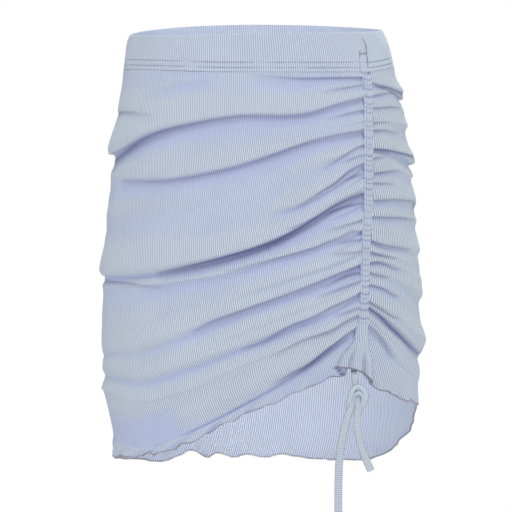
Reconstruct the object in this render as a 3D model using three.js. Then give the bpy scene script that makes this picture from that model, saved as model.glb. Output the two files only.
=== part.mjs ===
import * as THREE from "three";

// A ruched rib-knit mini skirt in the shape it keeps when worn. Lengths are in millimetres,
// +Z is up, the wearer faces -Y, and the origin is the middle of the waist opening.
//
// Angles run round the body from the middle front, positive towards the wearer's left.
// A drop is how far below the waist a point lies, as an eye in front of the skirt sees it,
// and an across is how far to its right. EYE says where that eye is.

const EYE = { distance: 3500, drop: 215 };
const CLOTH = 2;
const BAND_CLOTH = 2.8; // the waistband is turned double
const SEAM = 0.3; // room between neighbouring pieces
const DROOP = 0.35; // how far a fold sags for each millimetre that it stands out
const SIDE = Math.PI / 2;

// Turns a heading and its rows into objects with named values.
function table(heading, ...rows) {
  const names = heading.split(" ");
  return rows.map((row) => Object.fromEntries(names.map((name, i) => [name, row[i]])));
}

// The body under the cloth: an oval at each drop, with its own depth to the front and back.
const SECTIONS = table(
  "drop shift half front back",
  [-12, 1.0, 123.0, 91, 92],
  [0, 1.0, 125.5, 92, 93],
  [12, 1.5, 130.0, 94, 95],
  [30, 2.5, 134.0, 97, 99],
  [45, 3.0, 136.0, 100, 103],
  [75, 4.5, 140.5, 104, 111],
  [110, 4.5, 145.0, 108, 120],
  [150, 5.0, 150.5, 111, 128],
  [190, 5.0, 154.0, 112, 133],
  [230, 5.0, 157.0, 113, 135],
  [280, 5.0, 158.5, 113, 134],
  [340, 5.0, 158.0, 112, 129],
  [385, 4.0, 156.0, 110, 124],
  [415, 2.5, 150.0, 107, 121],
  [440, 1.5, 142.0, 104, 118],
);

// The waist's top edge is higher at the back, and the band is this deep below it there.
const WAIST = { middle: -2, tilt: 10, lean: 2.2, bow: 3, backFoot: -27 };
const BAND = { columns: 60, crown: 1.1 };

// Edges of the ruched channel as seen from the front, with the flared foot at its end.
const CHANNEL_EDGES = table(
  "drop right left",
  [42, 114.5, 106.0],
  [60, 116.5, 108.0],
  [120, 117.0, 108.0],
  [170, 117.0, 108.0],
  [210, 114.5, 105.5],
  [250, 113.0, 105.0],
  [285, 112.0, 102.5],
  [305, 112.0, 99.0],
  [320, 113.5, 92.5],
  [335, 115.5, 87.0],
  [353, 116.0, 85.5],
);
const CHANNEL = {
  cloth: 3, // two layers with the cord drawn up between them
  hump: 1.3,
  crinklePitch: 5.4,
  crinkle: 0.6,
  footDrop: 300,
  end: 344,
  footCut: { right: 8, middle: -4, left: -7 },
};

// Lines along which the cloth is drawn up: their drop at places from the channel to the side
// seam. A place is a part of the width that shows from the front.
const FRONT_PLACES = { channel: 0, near: 0.11, inner: 0.25, middle: 0.45, outer: 0.65, far: 0.84, side: 1 };
const FRONT_LINES = table(
  "channel near inner middle outer far side",
  [42, 42, 42, 42, 41.5, 40, 39],
  [48, 48.5, 49, 48, 53, 61, 76],
  [68, 76, 85, 87, 93, 103, 122],
  [102, 108.5, 116, 131, 146, 151, 148],
  [135, 154.5, 173.5, 188, 198, 206, 210],
  [163.5, 176.5, 197, 220.5, 234.5, 243.5, 245],
  [200, 212, 223, 239, 250.5, 257, 258],
  [234.5, 247.5, 262, 281, 301.5, 318, 322],
  [262, 280, 294.5, 316, 335.5, 350, 342],
  [285, 299, 313.5, 335, 359, 372, 358],
  [297, 317.5, 344.5, 375, 401, 418, 406],
  [344, 352, 368, 388.5, 413.5, 425, 426],
);
const SIDE_FRONT_PLACES = { channel: 0, inner: 0.3, outer: 0.6, side: 1 };
const SIDE_FRONT_LINES = table(
  "channel inner outer side",
  [42, 41, 39.5, 37],
  [54, 56, 58.5, 68],
  [66, 64, 63.5, 74],
  [79, 79, 77.5, 82],
  [92, 92, 93, 97],
  [100, 101, 105, 111],
  [118, 119, 123, 133],
  [143, 142, 141, 147],
  [171, 171, 171.5, 176],
  [187, 187, 187.5, 193],
  [209, 216, 218, 222],
  [222, 225, 230, 239],
  [232, 232, 237.5, 250],
  [278, 289.5, 302.5, 324],
  [296, 312, 332, 350],
  [353, 361, 367, 373],
);

// One row for each pleat: the drop at which it leaves the channel, how far it stands out near
// the channel, halfway and at the side seam, how wide it is, and the parts of the way to the
// side seam where it begins and where it has faded. Past 1 it goes on round to the back.
const FRONT_PLEATS = table(
  "start near mid far wide begin reach",
  [48, 2.0, 1.2, 0, 4, 0, 0.5],
  [48, 0, 0.4, 1.6, 7, 0.5, 1.2],
  [57, 1.4, 0, 0, 3.5, 0, 0.16],
  [68, 2.4, 2.2, 7.0, 5, 0, 1.5],
  [80, 1.3, 0, 0, 3.5, 0, 0.16],
  [91, 1.1, 0, 0, 3.5, 0, 0.14],
  [102, 2.3, 2.0, 1.0, 5, 0, 1.2],
  [115, 1.5, 0.8, 0, 4, 0, 0.25],
  [126, 1.0, 0, 0, 3.5, 0, 0.12],
  [135, 2.8, 2.0, 0, 5, 0, 0.4],
  [145, 1.3, 0, 0, 3.5, 0, 0.16],
  [154.5, 1.5, 0, 0, 3.5, 0, 0.18],
  [163.5, 2.8, 5.4, 4.2, 6.5, 0, 1.5],
  [174.5, 2.2, 0, 0, 4, 0, 0.2],
  [188.5, 1.7, 0, 0, 4, 0, 0.2],
  [200, 2.6, 2.2, 1.0, 5.5, 0, 1.2],
  [209, 1.5, 0, 0, 3.5, 0, 0.2],
  [221, 2.0, 1.2, 0, 4.5, 0, 0.55],
  [234.5, 3.0, 3.2, 1.4, 5.5, 0, 1.2],
  [243, 2.0, 0, 0, 3.5, 0, 0.2],
  [250.5, 1.4, 1.2, 0, 4, 0, 0.6],
  [262, 2.8, 3.2, 1.6, 6.5, 0, 1.2],
  [277, 1.4, 0, 0, 3.5, 0, 0.14],
  [285, 2.6, 2.0, 2.0, 5, 0, 1.3],
  [291, 0, 0.6, 2.6, 6, 0.45, 1.4],
  [297, 4.2, 4.2, 0.6, 7, 0, 0.75],
);
const SIDE_FRONT_PLEATS = table(
  "start near mid far wide begin reach",
  [54, 2.2, 2.8, 8.0, 5, 0, 1.4],
  [66, 1.8, 1.4, 0.6, 4, 0, 0.9],
  [79, 1.2, 1.0, 1.4, 4, 0, 1.1],
  [92, 1.4, 1.4, 4.2, 4.5, 0, 1.3],
  [100, 2.0, 1.8, 1.6, 4, 0, 1.2],
  [118, 3.0, 3.4, 8.0, 5.5, 0, 1.5],
  [128, 1.5, 0, 0, 3.5, 0, 0.3],
  [143, 2.0, 1.8, 2.2, 5, 0, 1.3],
  [154, 1.2, 0.5, 0, 3.5, 0, 0.5],
  [171, 2.4, 2.6, 3.0, 6, 0, 1.4],
  [187, 1.6, 1.8, 2.4, 5, 0, 1.3],
  [199, 1.0, 0.5, 0, 3.5, 0, 0.5],
  [209, 2.6, 2.6, 2.8, 5, 0, 1.4],
  [222, 2.0, 1.8, 1.4, 4.5, 0, 1.2],
  [232, 2.4, 2.0, 1.4, 4.5, 0, 1.2],
  [243, 1.8, 1.5, 4.2, 5, 0, 1.4],
  [255, 1.5, 1.0, 0.8, 4, 0, 1.1],
  [270, 2.0, 1.4, 3.0, 4.5, 0, 1.3],
  [278, 2.6, 3.2, 4.8, 5, 0, 1.6],
  [287, 1.5, 0.9, 0.6, 4, 0, 1.0],
  [296, 2.2, 1.8, 1.0, 6, 0, 1.1],
);

// The two front panels. Side is where each ends: -1 is the wearer's right seam and 1 the left.
const FRONT = {
  lines: FRONT_LINES,
  places: FRONT_PLACES,
  pleats: FRONT_PLEATS,
  side: -1,
  edge: "left",
  columns: 24,
};
const SIDE_FRONT = {
  lines: SIDE_FRONT_LINES,
  places: SIDE_FRONT_PLACES,
  pleats: SIDE_FRONT_PLEATS,
  side: 1,
  edge: "right",
  columns: 7,
};

// A pleat is a ridge with a crease below it, each steeper on the side that faces the other.
const PLEAT = {
  spread: 0.8, // how much wider it is at the side seam
  creaseShare: 0.7,
  ridgeAbove: 1.2,
  ridgeBelow: 0.6,
  creaseAbove: 0.6,
  creaseBelow: 0.8,
  fade: 0.12, // the part of the way over which it comes or goes
  calmTop: 5, // the waistband holds the cloth flat over this drop
  backTurn: THREE.MathUtils.degToRad(60), // the way round past a side seam for one more reach
};

// The back has only broad soft folds. Each dips from one side to the other.
const BACK_FOLDS = table(
  "leftDrop rightDrop height wide middle span",
  [118, 92, 1.6, 16, 205, 60],
  [186, 150, 1.8, 18, 165, 55],
  [262, 205, 2.4, 20, 160, 60],
  [330, 262, 2.4, 20, 170, 65],
  [388, 318, 2.0, 18, 200, 60],
);

// The back's hem, by the angle in degrees, ripples a little.
const BACK_HEM = table(
  "angle drop",
  [90, 374],
  [98, 391],
  [107, 404],
  [117, 418],
  [126, 425],
  [135, 427.5],
  [146, 429],
  [158, 428],
  [170, 424],
  [177, 427],
  [185, 424],
  [190, 427],
  [197, 422],
  [201, 427],
  [208, 420],
  [214, 425],
  [223, 431],
  [234, 429],
  [250, 428],
  [270, 427],
);

const BACK = { columns: 27, rows: 42 };
const ROWS = { closest: 2, widest: 8 };

const DRAWSTRING = { halfWidth: 3.3, halfThick: 1.3, sides: 10 };
// The drawstring's route, seen from the front, with its true depth y. The strand starts in the
// channel's mouth, and both ends start in the knot.
const STRAND_ROUTE = table(
  "across drop y",
  [97.8, 340.3, -91.5],
  [98.2, 345, -94],
  [98.6, 349, -96],
  [99, 353.3, -97],
);
const LONG_ROUTE = table(
  "across drop y",
  [95.3, 377, -97],
  [91.8, 386, -97],
  [89, 396, -96.5],
  [86, 410, -96],
  [83.5, 429, -95.5],
  [82.5, 450, -95.5],
  [82.3, 470, -95.5],
  [82.4, 500, -95.5],
);
const SHORT_ROUTE = table(
  "across drop y",
  [102.3, 379.2, -97],
  [101.2, 390, -97],
  [103, 407, -97],
  [107.5, 423, -97],
  [111.5, 433, -97],
  [115.2, 441, -97],
);
const KNOT = {
  across: 104,
  drop: 366,
  y: -97,
  halfWidth: 11.5,
  halfHeight: 13,
  halfDepth: 5.5,
  bands: 3, // wraps of the cord that show on it
  groove: 0.14,
  slant: 0.9,
  around: 20,
  upright: 14,
};

const { clamp, degToRad, lerp, smoothstep } = THREE.MathUtils;

// A curve through points with rising xs, level beyond its ends.
function smooth(xs, ys, x) {
  const last = xs.length - 1;
  if (x <= xs[0]) return ys[0];
  if (x >= xs[last]) return ys[last];
  const i = xs.findIndex((value) => value > x) - 1;
  const slope = (k) => {
    const before = Math.max(k - 1, 0);
    const after = Math.min(k + 1, last);
    return (ys[after] - ys[before]) / (xs[after] - xs[before]);
  };
  const step = xs[i + 1] - xs[i];
  const t = (x - xs[i]) / step;
  const rest = 1 - t;
  return (
    ys[i] * rest * rest * (1 + 2 * t) +
    ys[i + 1] * t * t * (3 - 2 * t) +
    slope(i) * step * t * rest * rest -
    slope(i + 1) * step * t * t * rest
  );
}

function column(rows, name) {
  return rows.map((row) => row[name]);
}

function along(rows, by, name, at) {
  return smooth(column(rows, by), column(rows, name), at);
}

// The point of the body at an angle and a true height, with its level outward direction.
function bodyAt(angle, z) {
  const shift = along(SECTIONS, "drop", "shift", -z);
  const half = along(SECTIONS, "drop", "half", -z);
  const depth = along(SECTIONS, "drop", Math.cos(angle) > 0 ? "front" : "back", -z);
  const outward = new THREE.Vector3(Math.sin(angle) / half, -Math.cos(angle) / depth, 0).normalize();
  const point = new THREE.Vector3(shift + half * Math.sin(angle), -depth * Math.cos(angle), z);
  return { point, outward, shift, half };
}

// The true height of what the eye sees at a drop, for a point at a depth y.
function heightSeen(drop, y) {
  return -EYE.drop - (drop - EYE.drop) * (1 + y / EYE.distance);
}

function trueHeight(drop, angle) {
  let z = -drop;
  for (let pass = 0; pass < 3; pass++) z = heightSeen(drop, bodyAt(angle, z).point.y);
  return z;
}

// The angle on the front at which the eye sees a point.
function angleSeen(across, drop) {
  let angle = 0;
  for (let pass = 0; pass < 5; pass++) {
    const { point, shift, half } = bodyAt(angle, trueHeight(drop, angle));
    const x = across * (1 + point.y / EYE.distance);
    angle = Math.asin(clamp((x - shift) / half, -1, 1));
  }
  return angle;
}

// The drop of each drawn-up line at a part of the way from the channel to the side seam.
function lineDrops({ lines, places }, part) {
  return lines.map((line) => smooth(Object.values(places), Object.values(line), part));
}

function linear(xs, ys, x) {
  const i = clamp(xs.findIndex((value) => value > x) - 1, 0, xs.length - 2);
  const at = x >= xs[xs.length - 1] ? xs.length - 2 : i;
  return lerp(ys[at], ys[at + 1], (x - xs[at]) / (xs[at + 1] - xs[at]));
}

function lobe(x, before, after) {
  return Math.exp(-((x / (x < 0 ? before : after)) ** 2));
}

function pleatHeight(pleat, part) {
  const height =
    part < 0.5
      ? lerp(pleat.near, pleat.mid, part / 0.5)
      : lerp(pleat.mid, pleat.far, Math.min((part - 0.5) / 0.5, 1));
  const comes = pleat.begin > 0 ? smoothstep(part, pleat.begin - PLEAT.fade, pleat.begin + PLEAT.fade) : 1;
  return height * comes * (1 - smoothstep(part, pleat.reach - PLEAT.fade, pleat.reach));
}

// How far the pleats push the cloth out, for the line that leaves the channel at a drop.
function relief(pleats, start, part) {
  let height = 0;
  for (const pleat of pleats) {
    const x = (start - pleat.start) / (pleat.wide * (1 + PLEAT.spread * Math.min(part, 1)));
    const ridge = lobe(x + 0.5, PLEAT.ridgeAbove, PLEAT.ridgeBelow);
    const crease = lobe(x - 0.5, PLEAT.creaseAbove, PLEAT.creaseBelow);
    height += pleatHeight(pleat, part) * (ridge - PLEAT.creaseShare * crease);
  }
  const top = pleats[0].start - PLEAT.calmTop;
  return height * smoothstep(start, top, top + PLEAT.calmTop);
}

// Both faces of the cloth where it stands out from the body by a height.
function clothAt(angle, z, height, cloth = CLOTH) {
  const { point, outward } = bodyAt(angle, z);
  point.z -= DROOP * Math.max(height, 0);
  return {
    outer: point.clone().addScaledVector(outward, height),
    inner: point.clone().addScaledVector(outward, height - cloth),
  };
}

// A closed wall over rows that go down and columns that go round to the wearer's right.
function wall(grid, { ring = false } = {}) {
  const rows = grid.length;
  const columns = grid[0].length;
  const positions = grid.flat().flatMap(({ outer, inner }) => [...outer, ...inner]);
  const faces = [];
  const outer = (i, j) => 2 * (i * columns + (j % columns));
  const inner = (i, j) => outer(i, j) + 1;
  const quad = (a, b, c, d) => faces.push(a, b, c, a, c, d);
  const spans = ring ? columns : columns - 1;
  for (let j = 0; j < spans; j++) {
    for (let i = 0; i < rows - 1; i++) {
      quad(outer(i, j), outer(i, j + 1), outer(i + 1, j + 1), outer(i + 1, j));
      quad(inner(i, j), inner(i + 1, j), inner(i + 1, j + 1), inner(i, j + 1));
    }
    quad(outer(0, j), inner(0, j), inner(0, j + 1), outer(0, j + 1));
    quad(outer(rows - 1, j), outer(rows - 1, j + 1), inner(rows - 1, j + 1), inner(rows - 1, j));
  }
  for (let i = 0; !ring && i < rows - 1; i++) {
    quad(outer(i, 0), outer(i + 1, 0), inner(i + 1, 0), inner(i, 0));
    quad(outer(i, spans), inner(i, spans), inner(i + 1, spans), outer(i + 1, spans));
  }
  const geometry = new THREE.BufferGeometry();
  geometry.setAttribute("position", new THREE.Float32BufferAttribute(positions, 3));
  geometry.setIndex(faces);
  return geometry;
}

function steps(count) {
  return Array.from({ length: count + 1 }, (_, i) => i / count);
}

// Where an edge of the channel is seen, straight between the rows of its table.
function channelEdge(edge, drop) {
  return linear(column(CHANNEL_EDGES, "drop"), column(CHANNEL_EDGES, edge), drop);
}

// Rows on the ridge and in the crease of each pleat and at each bend of the channel's edge,
// with more where they lie far apart.
function rowStarts(pleats, first, last) {
  const wanted = pleats.flatMap(({ start, wide }) => [start - wide / 2, start + wide / 2]);
  wanted.push(...column(CHANNEL_EDGES, "drop").filter((drop) => drop > CHANNEL.footDrop));
  const kept = [first];
  for (const start of wanted.sort((a, b) => a - b)) {
    const clear = start > kept[kept.length - 1] + ROWS.closest;
    if (clear && start < last - ROWS.closest) kept.push(start);
  }
  kept.push(last);
  return kept.flatMap((start, i) => {
    if (i === 0) return [start];
    const room = start - kept[i - 1];
    const parts = Math.ceil(room / ROWS.widest);
    return steps(parts).slice(1).map((t) => kept[i - 1] + room * t);
  });
}

// The part of the seen way from a panel's channel edge to its side seam at an angle.
function partWay({ side }, first, angle) {
  return clamp((Math.sin(angle) - Math.sin(first)) / (side - Math.sin(first)), 0, 1);
}

// A front panel from the channel's edge to a side seam.
function frontPanel(panel) {
  const { lines, pleats, side, edge, columns } = panel;
  const channelDrops = column(lines, "channel");
  const starts = rowStarts(pleats, channelDrops[0], channelDrops[channelDrops.length - 1]);
  const grid = starts.map((start) => {
    const first = angleSeen(channelEdge(edge, start), start);
    const last = side * (SIDE - SEAM / 2 / bodyAt(first, -start).half);
    const row = steps(columns).map((t) => {
      const angle = lerp(first, last, t);
      const part = partWay(panel, first, angle);
      const drop = linear(channelDrops, lineDrops(panel, part), start);
      return clothAt(angle, trueHeight(drop, angle), relief(pleats, start, part));
    });
    return side < 0 ? row : row.reverse();
  });
  return wall(grid);
}

// Relief that goes on past a panel's side seam on to the back, at a true height.
function reliefPast(panel, turn, z) {
  const channelDrops = column(panel.lines, "channel");
  const start = linear(lineDrops(panel, 1), channelDrops, -z);
  const lowest = channelDrops[channelDrops.length - 1];
  return relief(panel.pleats, Math.min(start, lowest), 1 + turn / PLEAT.backTurn);
}

function backRelief(angle, z) {
  const towardsRight = smoothstep(angle, SIDE, 3 * SIDE);
  let height = reliefPast(SIDE_FRONT, angle - SIDE, z) + reliefPast(FRONT, 3 * SIDE - angle, z);
  for (const fold of BACK_FOLDS) {
    const drop = lerp(fold.leftDrop, fold.rightDrop, towardsRight);
    const fades = lobe((angle - degToRad(fold.middle)) / degToRad(fold.span), 1, 1);
    height += fold.height * -Math.cos(angle) * fades * lobe((-z - drop) / fold.wide, 1, 0.7);
  }
  return height;
}

// The true height of the waistband's lower edge, where the panels hang from it.
function bandFoot(angle) {
  const turned = Math.atan2(Math.sin(angle), Math.cos(angle));
  if (Math.cos(turned) < 0) {
    const { lines } = turned > 0 ? SIDE_FRONT : FRONT;
    return lerp(-lines[0].side, WAIST.backFoot, -Math.cos(turned));
  }
  const top = FRONT_LINES[0].channel;
  const right = angleSeen(channelEdge("right", top), top);
  const panel = turned > right ? SIDE_FRONT : FRONT;
  const first = angleSeen(channelEdge(panel.edge, top), top);
  return trueHeight(lineDrops(panel, partWay(panel, first, turned))[0], turned);
}

function waistTop(angle) {
  const back = -Math.cos(angle);
  return WAIST.middle + WAIST.tilt * back + WAIST.lean * Math.sin(angle) + WAIST.bow * back * back;
}

function waistband() {
  const angles = steps(BAND.columns).slice(0, -1).map((t) => -2 * Math.PI * t);
  const rows = [0, 0.03, 0.34, 0.67, 1];
  const grid = rows.map((t) =>
    angles.map((angle) => {
      const z = lerp(waistTop(angle), bandFoot(angle) + SEAM, t);
      const { point, outward } = bodyAt(angle, z);
      const inset = t === 0 ? BAND.crown : 0;
      return {
        outer: point.clone().addScaledVector(outward, -inset),
        inner: point.clone().addScaledVector(outward, inset - BAND_CLOTH),
      };
    }),
  );
  return wall(grid, { ring: true });
}

function backPanel() {
  const room = SEAM / 2 / SECTIONS[SECTIONS.length - 1].half;
  const hemAngles = column(BACK_HEM, "angle").map(degToRad);
  const grid = steps(BACK.rows).map((down) =>
    steps(BACK.columns).map((t) => {
      const angle = lerp(3 * SIDE - room, SIDE + room, t);
      const hem = trueHeight(smooth(hemAngles, column(BACK_HEM, "drop"), angle), angle);
      const z = lerp(bandFoot(angle), hem, down);
      return clothAt(angle, z, backRelief(angle, z));
    }),
  );
  return wall(grid);
}

// The channel is gathered into fine crinkles down to its foot, which hangs free and flares.
function channel() {
  const first = FRONT_LINES[0].channel;
  const pitch = CHANNEL.crinklePitch / 2;
  const count = Math.round((CHANNEL.end - first) / pitch);
  const sides = [1, 0, -1];
  const cut = { 1: CHANNEL.footCut.right, 0: CHANNEL.footCut.middle, "-1": CHANNEL.footCut.left };
  const grid = steps(count).map((t, i) => {
    const drop = lerp(first, CHANNEL.end, t);
    const foot = clamp((drop - CHANNEL.footDrop) / (CHANNEL.end - CHANNEL.footDrop), 0, 1);
    const crinkle = (i % 2 ? 1 : -1) * CHANNEL.crinkle * (1 - foot);
    return sides.map((side) => {
      const at = drop + cut[side] * foot * foot;
      const right = channelEdge("right", at) - SEAM;
      const left = channelEdge("left", at) + SEAM;
      const angle = angleSeen(lerp(left, right, (side + 1) / 2), at);
      const z = trueHeight(at, angle);
      const { point, outward } = bodyAt(angle, z);
      const height = side === 0 ? CHANNEL.hump + crinkle : 0;
      return {
        outer: point.clone().addScaledVector(outward, height),
        inner: point.clone().addScaledVector(outward, -CHANNEL.cloth),
      };
    });
  });
  return wall(grid);
}

// The place in space of a point of the drawstring.
function hangingPoint({ across, drop, y }) {
  return new THREE.Vector3(across * (1 + y / EYE.distance), y, heightSeen(drop, y));
}

function cord(route) {
  const { halfThick, halfWidth, sides } = DRAWSTRING;
  const outline = steps(sides).slice(0, -1).map((t) => {
    const turn = 2 * Math.PI * t;
    return new THREE.Vector2(halfThick * Math.cos(turn), halfWidth * Math.sin(turn));
  });
  const path = new THREE.CatmullRomCurve3(route.map(hangingPoint));
  const stepLength = 4 * halfWidth;
  return new THREE.ExtrudeGeometry(new THREE.Shape(outline), {
    steps: Math.max(Math.ceil(path.getLength() / stepLength), 2),
    bevelEnabled: false,
    extrudePath: path,
  });
}

// The overhand knot as one closed lump with the wraps of the cord round it.
function knot() {
  const geometry = new THREE.SphereGeometry(1, KNOT.around, KNOT.upright);
  const middle = hangingPoint(KNOT);
  const position = geometry.getAttribute("position");
  for (let i = 0; i < position.count; i++) {
    const [x, z, y] = [position.getX(i), position.getY(i), position.getZ(i)];
    const wrap = Math.cos(Math.PI * KNOT.bands * (z + KNOT.slant * x));
    const size = 1 - KNOT.groove * (0.5 - 0.5 * wrap);
    const place = new THREE.Vector3(x * KNOT.halfWidth, -y * KNOT.halfDepth, z * KNOT.halfHeight);
    place.multiplyScalar(size).add(middle);
    position.setXYZ(i, place.x, place.y, place.z);
  }
  return geometry;
}

function piece(name, geometry, colour) {
  const material = new THREE.MeshStandardMaterial({ color: colour, roughness: 0.95, metalness: 0 });
  geometry.computeVertexNormals();
  const mesh = new THREE.Mesh(geometry, material);
  mesh.name = name;
  return mesh;
}

const COLOURS = { cloth: 0xb9c0da, back: 0xaab2cf, band: 0xbcc4dc, cord: 0xc3cbe2 };

const skirt = new THREE.Group();
skirt.name = "ruched_mini_skirt";
skirt.add(
  piece("front_panel", frontPanel(FRONT), COLOURS.cloth),
  piece("side_front_panel", frontPanel(SIDE_FRONT), COLOURS.cloth),
  piece("back_panel", backPanel(), COLOURS.back),
  piece("waistband", waistband(), COLOURS.band),
  piece("channel", channel(), COLOURS.band),
  piece("drawstring_strand", cord(STRAND_ROUTE), COLOURS.cord),
  piece("drawstring_knot", knot(), COLOURS.cord),
  piece("drawstring_long_end", cord(LONG_ROUTE), COLOURS.cord),
  piece("drawstring_short_end", cord(SHORT_ROUTE), COLOURS.cord),
);

export default skirt;
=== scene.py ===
# %% [markdown]
# # A ruched mini skirt in rib knit
# The frame is the plain model of the skirt, packed from its own source, with one part for each
# piece that a maker would cut. Nothing here moves or changes it. Each part gets a finer piece
# of cloth made over it, and that piece then stands in its place.

# %% The frame
import math

import bpy
import numpy as np
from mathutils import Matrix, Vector


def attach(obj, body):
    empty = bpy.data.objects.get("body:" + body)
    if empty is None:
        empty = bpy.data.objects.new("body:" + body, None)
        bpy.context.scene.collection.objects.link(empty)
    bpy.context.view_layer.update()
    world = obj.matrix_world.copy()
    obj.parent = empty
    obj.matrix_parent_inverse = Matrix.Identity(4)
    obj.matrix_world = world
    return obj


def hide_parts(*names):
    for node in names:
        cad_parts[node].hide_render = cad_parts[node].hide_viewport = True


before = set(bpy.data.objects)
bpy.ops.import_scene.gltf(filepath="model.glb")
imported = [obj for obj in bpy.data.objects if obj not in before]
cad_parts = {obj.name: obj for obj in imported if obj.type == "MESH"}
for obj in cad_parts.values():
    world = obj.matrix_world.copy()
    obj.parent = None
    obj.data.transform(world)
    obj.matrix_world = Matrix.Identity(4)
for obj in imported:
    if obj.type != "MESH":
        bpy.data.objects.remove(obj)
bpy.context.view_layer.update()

# %% [markdown]
# # The camera
# The skirt was seen by a level eye 3.5 m in front of it and 215 mm below the waist. A long lens
# keeps the sides of the skirt almost parallel, as in a shop's picture. The picture is 512 pixels
# wide and one of them is 1 mm at the middle of the skirt, which settles the lens. The eye's level
# is a little above the middle of the picture, so the camera is shifted and not tilted, and
# upright lines stay upright.

# %% The camera
MM = 0.001
EYE_DISTANCE = 3500.0
EYE_DROP = 215.0
PICTURE = 512.0
WAIST_ROW = 30.0  # the picture's row that shows the waist's height
SENSOR = 36.0


def add_object(name, data):
    """A new object in the scene that shows a mesh, a camera or a light."""
    made = bpy.data.objects.new(name, data)
    bpy.context.scene.collection.objects.link(made)
    return made


def add_camera():
    """Puts the camera where the eye was and makes it the scene's own."""
    data = bpy.data.cameras.new("camera")
    data.sensor_width = SENSOR
    data.lens = SENSOR * EYE_DISTANCE / PICTURE
    data.shift_y = (WAIST_ROW + EYE_DROP - PICTURE / 2) / PICTURE
    camera = add_object("camera", data)
    camera.location = (0, -EYE_DISTANCE * MM, -EYE_DROP * MM)
    camera.rotation_euler = (math.pi / 2, 0, 0)
    bpy.context.scene.camera = camera
    return camera


camera = add_camera()
print("lens", round(camera.data.lens, 1), "mm, shift", round(camera.data.shift_y, 4))

# %% [markdown]
# # Places on the picture
# It is easiest to say where a fold lies as the picture shows it: so far across and so far below
# the waist. These two small functions go from such a place at a known depth to a point in space
# and back. All lengths are in millimetres until a mesh is made.


# %% Places on the picture
def point_seen(across, drop, y):
    """The point in space that shows at a place of the picture, at the depth y."""
    scale = 1 + np.asarray(y, float) / EYE_DISTANCE
    x = np.asarray(across, float) * scale
    z = -EYE_DROP - (np.asarray(drop, float) - EYE_DROP) * scale
    return np.stack(np.broadcast_arrays(x, y, z), axis=-1).astype(float)


def place_seen(point):
    """How far across and how far below the waist a point shows."""
    scale = 1 + point[..., 1] / EYE_DISTANCE
    return point[..., 0] / scale, EYE_DROP - (point[..., 2] + EYE_DROP) / scale


print("the picture's lowest row shows a drop of", PICTURE - WAIST_ROW, "mm at the middle depth")

# %% [markdown]
# # Meshes from grids
# Cloth, cords and bands are all sheets with rows and columns, so one function makes a mesh from
# a grid of points. A grid can close on itself round the body, or round a cord. Each point also
# takes two numbers that the knit will read, how many ribs along and how far down the rib it is,
# kept as a UV map. It can carry marks too: how far it stands out of the body, and how much
# painted shade it takes in a crease.


# %% Meshes from grids
def grid_faces(rows, columns, closed_round):
    """Four-sided faces of a grid whose rows go down and whose columns go to the wearer's right."""
    i = np.arange(rows - 1)
    j = np.arange(columns if closed_round else columns - 1)
    i, j = np.meshgrid(i, j, indexing="ij")
    beside = (j + 1) % columns
    corners = [(i, j), (i, beside), (i + 1, beside), (i + 1, j)]
    return np.stack([(a * columns + b).ravel() for a, b in corners], axis=-1)


def cloth_mesh(name, points, ribs, down, marks=None, closed_round=False):
    """A smooth mesh object from a grid of points in millimetres, with its knit's UV map."""
    rows, columns = points.shape[:2]
    faces = grid_faces(rows, columns, closed_round)
    mesh = bpy.data.meshes.new(name)
    mesh.vertices.add(rows * columns)
    mesh.vertices.foreach_set("co", (points * MM).astype(np.float32).ravel())
    mesh.loops.add(faces.size)
    mesh.loops.foreach_set("vertex_index", faces.astype(np.int32).ravel())
    mesh.polygons.add(len(faces))
    mesh.polygons.foreach_set("loop_start", np.arange(0, faces.size, 4, dtype=np.int32))
    mesh.update(calc_edges=True)
    mesh.validate()
    place = np.stack([ribs.ravel(), down.ravel()], axis=-1)[faces.ravel()]
    if closed_round:
        wraps = (faces % columns == 0) & (faces[:, [0]] % columns == columns - 1)
        place[wraps.ravel(), 0] += ribs[0, -1] + ribs[0, 1] - 2 * ribs[0, 0]
    uv = mesh.uv_layers.new(name="knit")
    uv.data.foreach_set("uv", place.astype(np.float32).ravel())
    for mark, values in (marks or {}).items():
        layer = mesh.attributes.new(mark, "FLOAT", "POINT")
        layer.data.foreach_set("value", values.astype(np.float32).ravel())
    mesh.shade_smooth()
    return add_object(name, mesh)


def triangles(made):
    """How many triangles a piece has as it is shown."""
    shown = made.evaluated_get(bpy.context.evaluated_depsgraph_get()).to_mesh()
    return sum(len(face.vertices) - 2 for face in shown.polygons)


print("a grid of 3 by 4 points has", len(grid_faces(3, 4, False)), "faces")

# %% [markdown]
# # Curves through a few points
# Every shape below comes from a short table with named columns. A table is read as a smooth
# curve through its rows, level beyond its ends, so a few rows give a whole outline.


# %% Curves through a few points
def table(heading, *rows):
    """Rows of numbers as rows whose numbers have names."""
    names = heading.split()
    return [dict(zip(names, row)) for row in rows]


def column(rows, name):
    """One named number of every row."""
    return np.array([row[name] for row in rows], float)


def smooth(xs, ys, x):
    """A curve through points with rising xs, level beyond its ends."""
    xs, ys = np.asarray(xs, float), np.asarray(ys, float)
    last = len(xs) - 1
    k = np.arange(len(xs))
    before, after = np.maximum(k - 1, 0), np.minimum(k + 1, last)
    slope = (ys[after] - ys[before]) / (xs[after] - xs[before])
    inside = np.clip(x, xs[0], xs[last])
    i = np.clip(np.searchsorted(xs, inside, side="right") - 1, 0, last - 1)
    step = xs[i + 1] - xs[i]
    t = (inside - xs[i]) / step
    rest = 1 - t
    level = ys[i] * rest * rest * (1 + 2 * t) + ys[i + 1] * t * t * (3 - 2 * t)
    return level + slope[i] * step * t * rest * rest - slope[i + 1] * step * t * t * rest


def along(rows, by, name, at):
    """One column of a table read as a curve over another."""
    return smooth(column(rows, by), column(rows, name), at)


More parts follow.
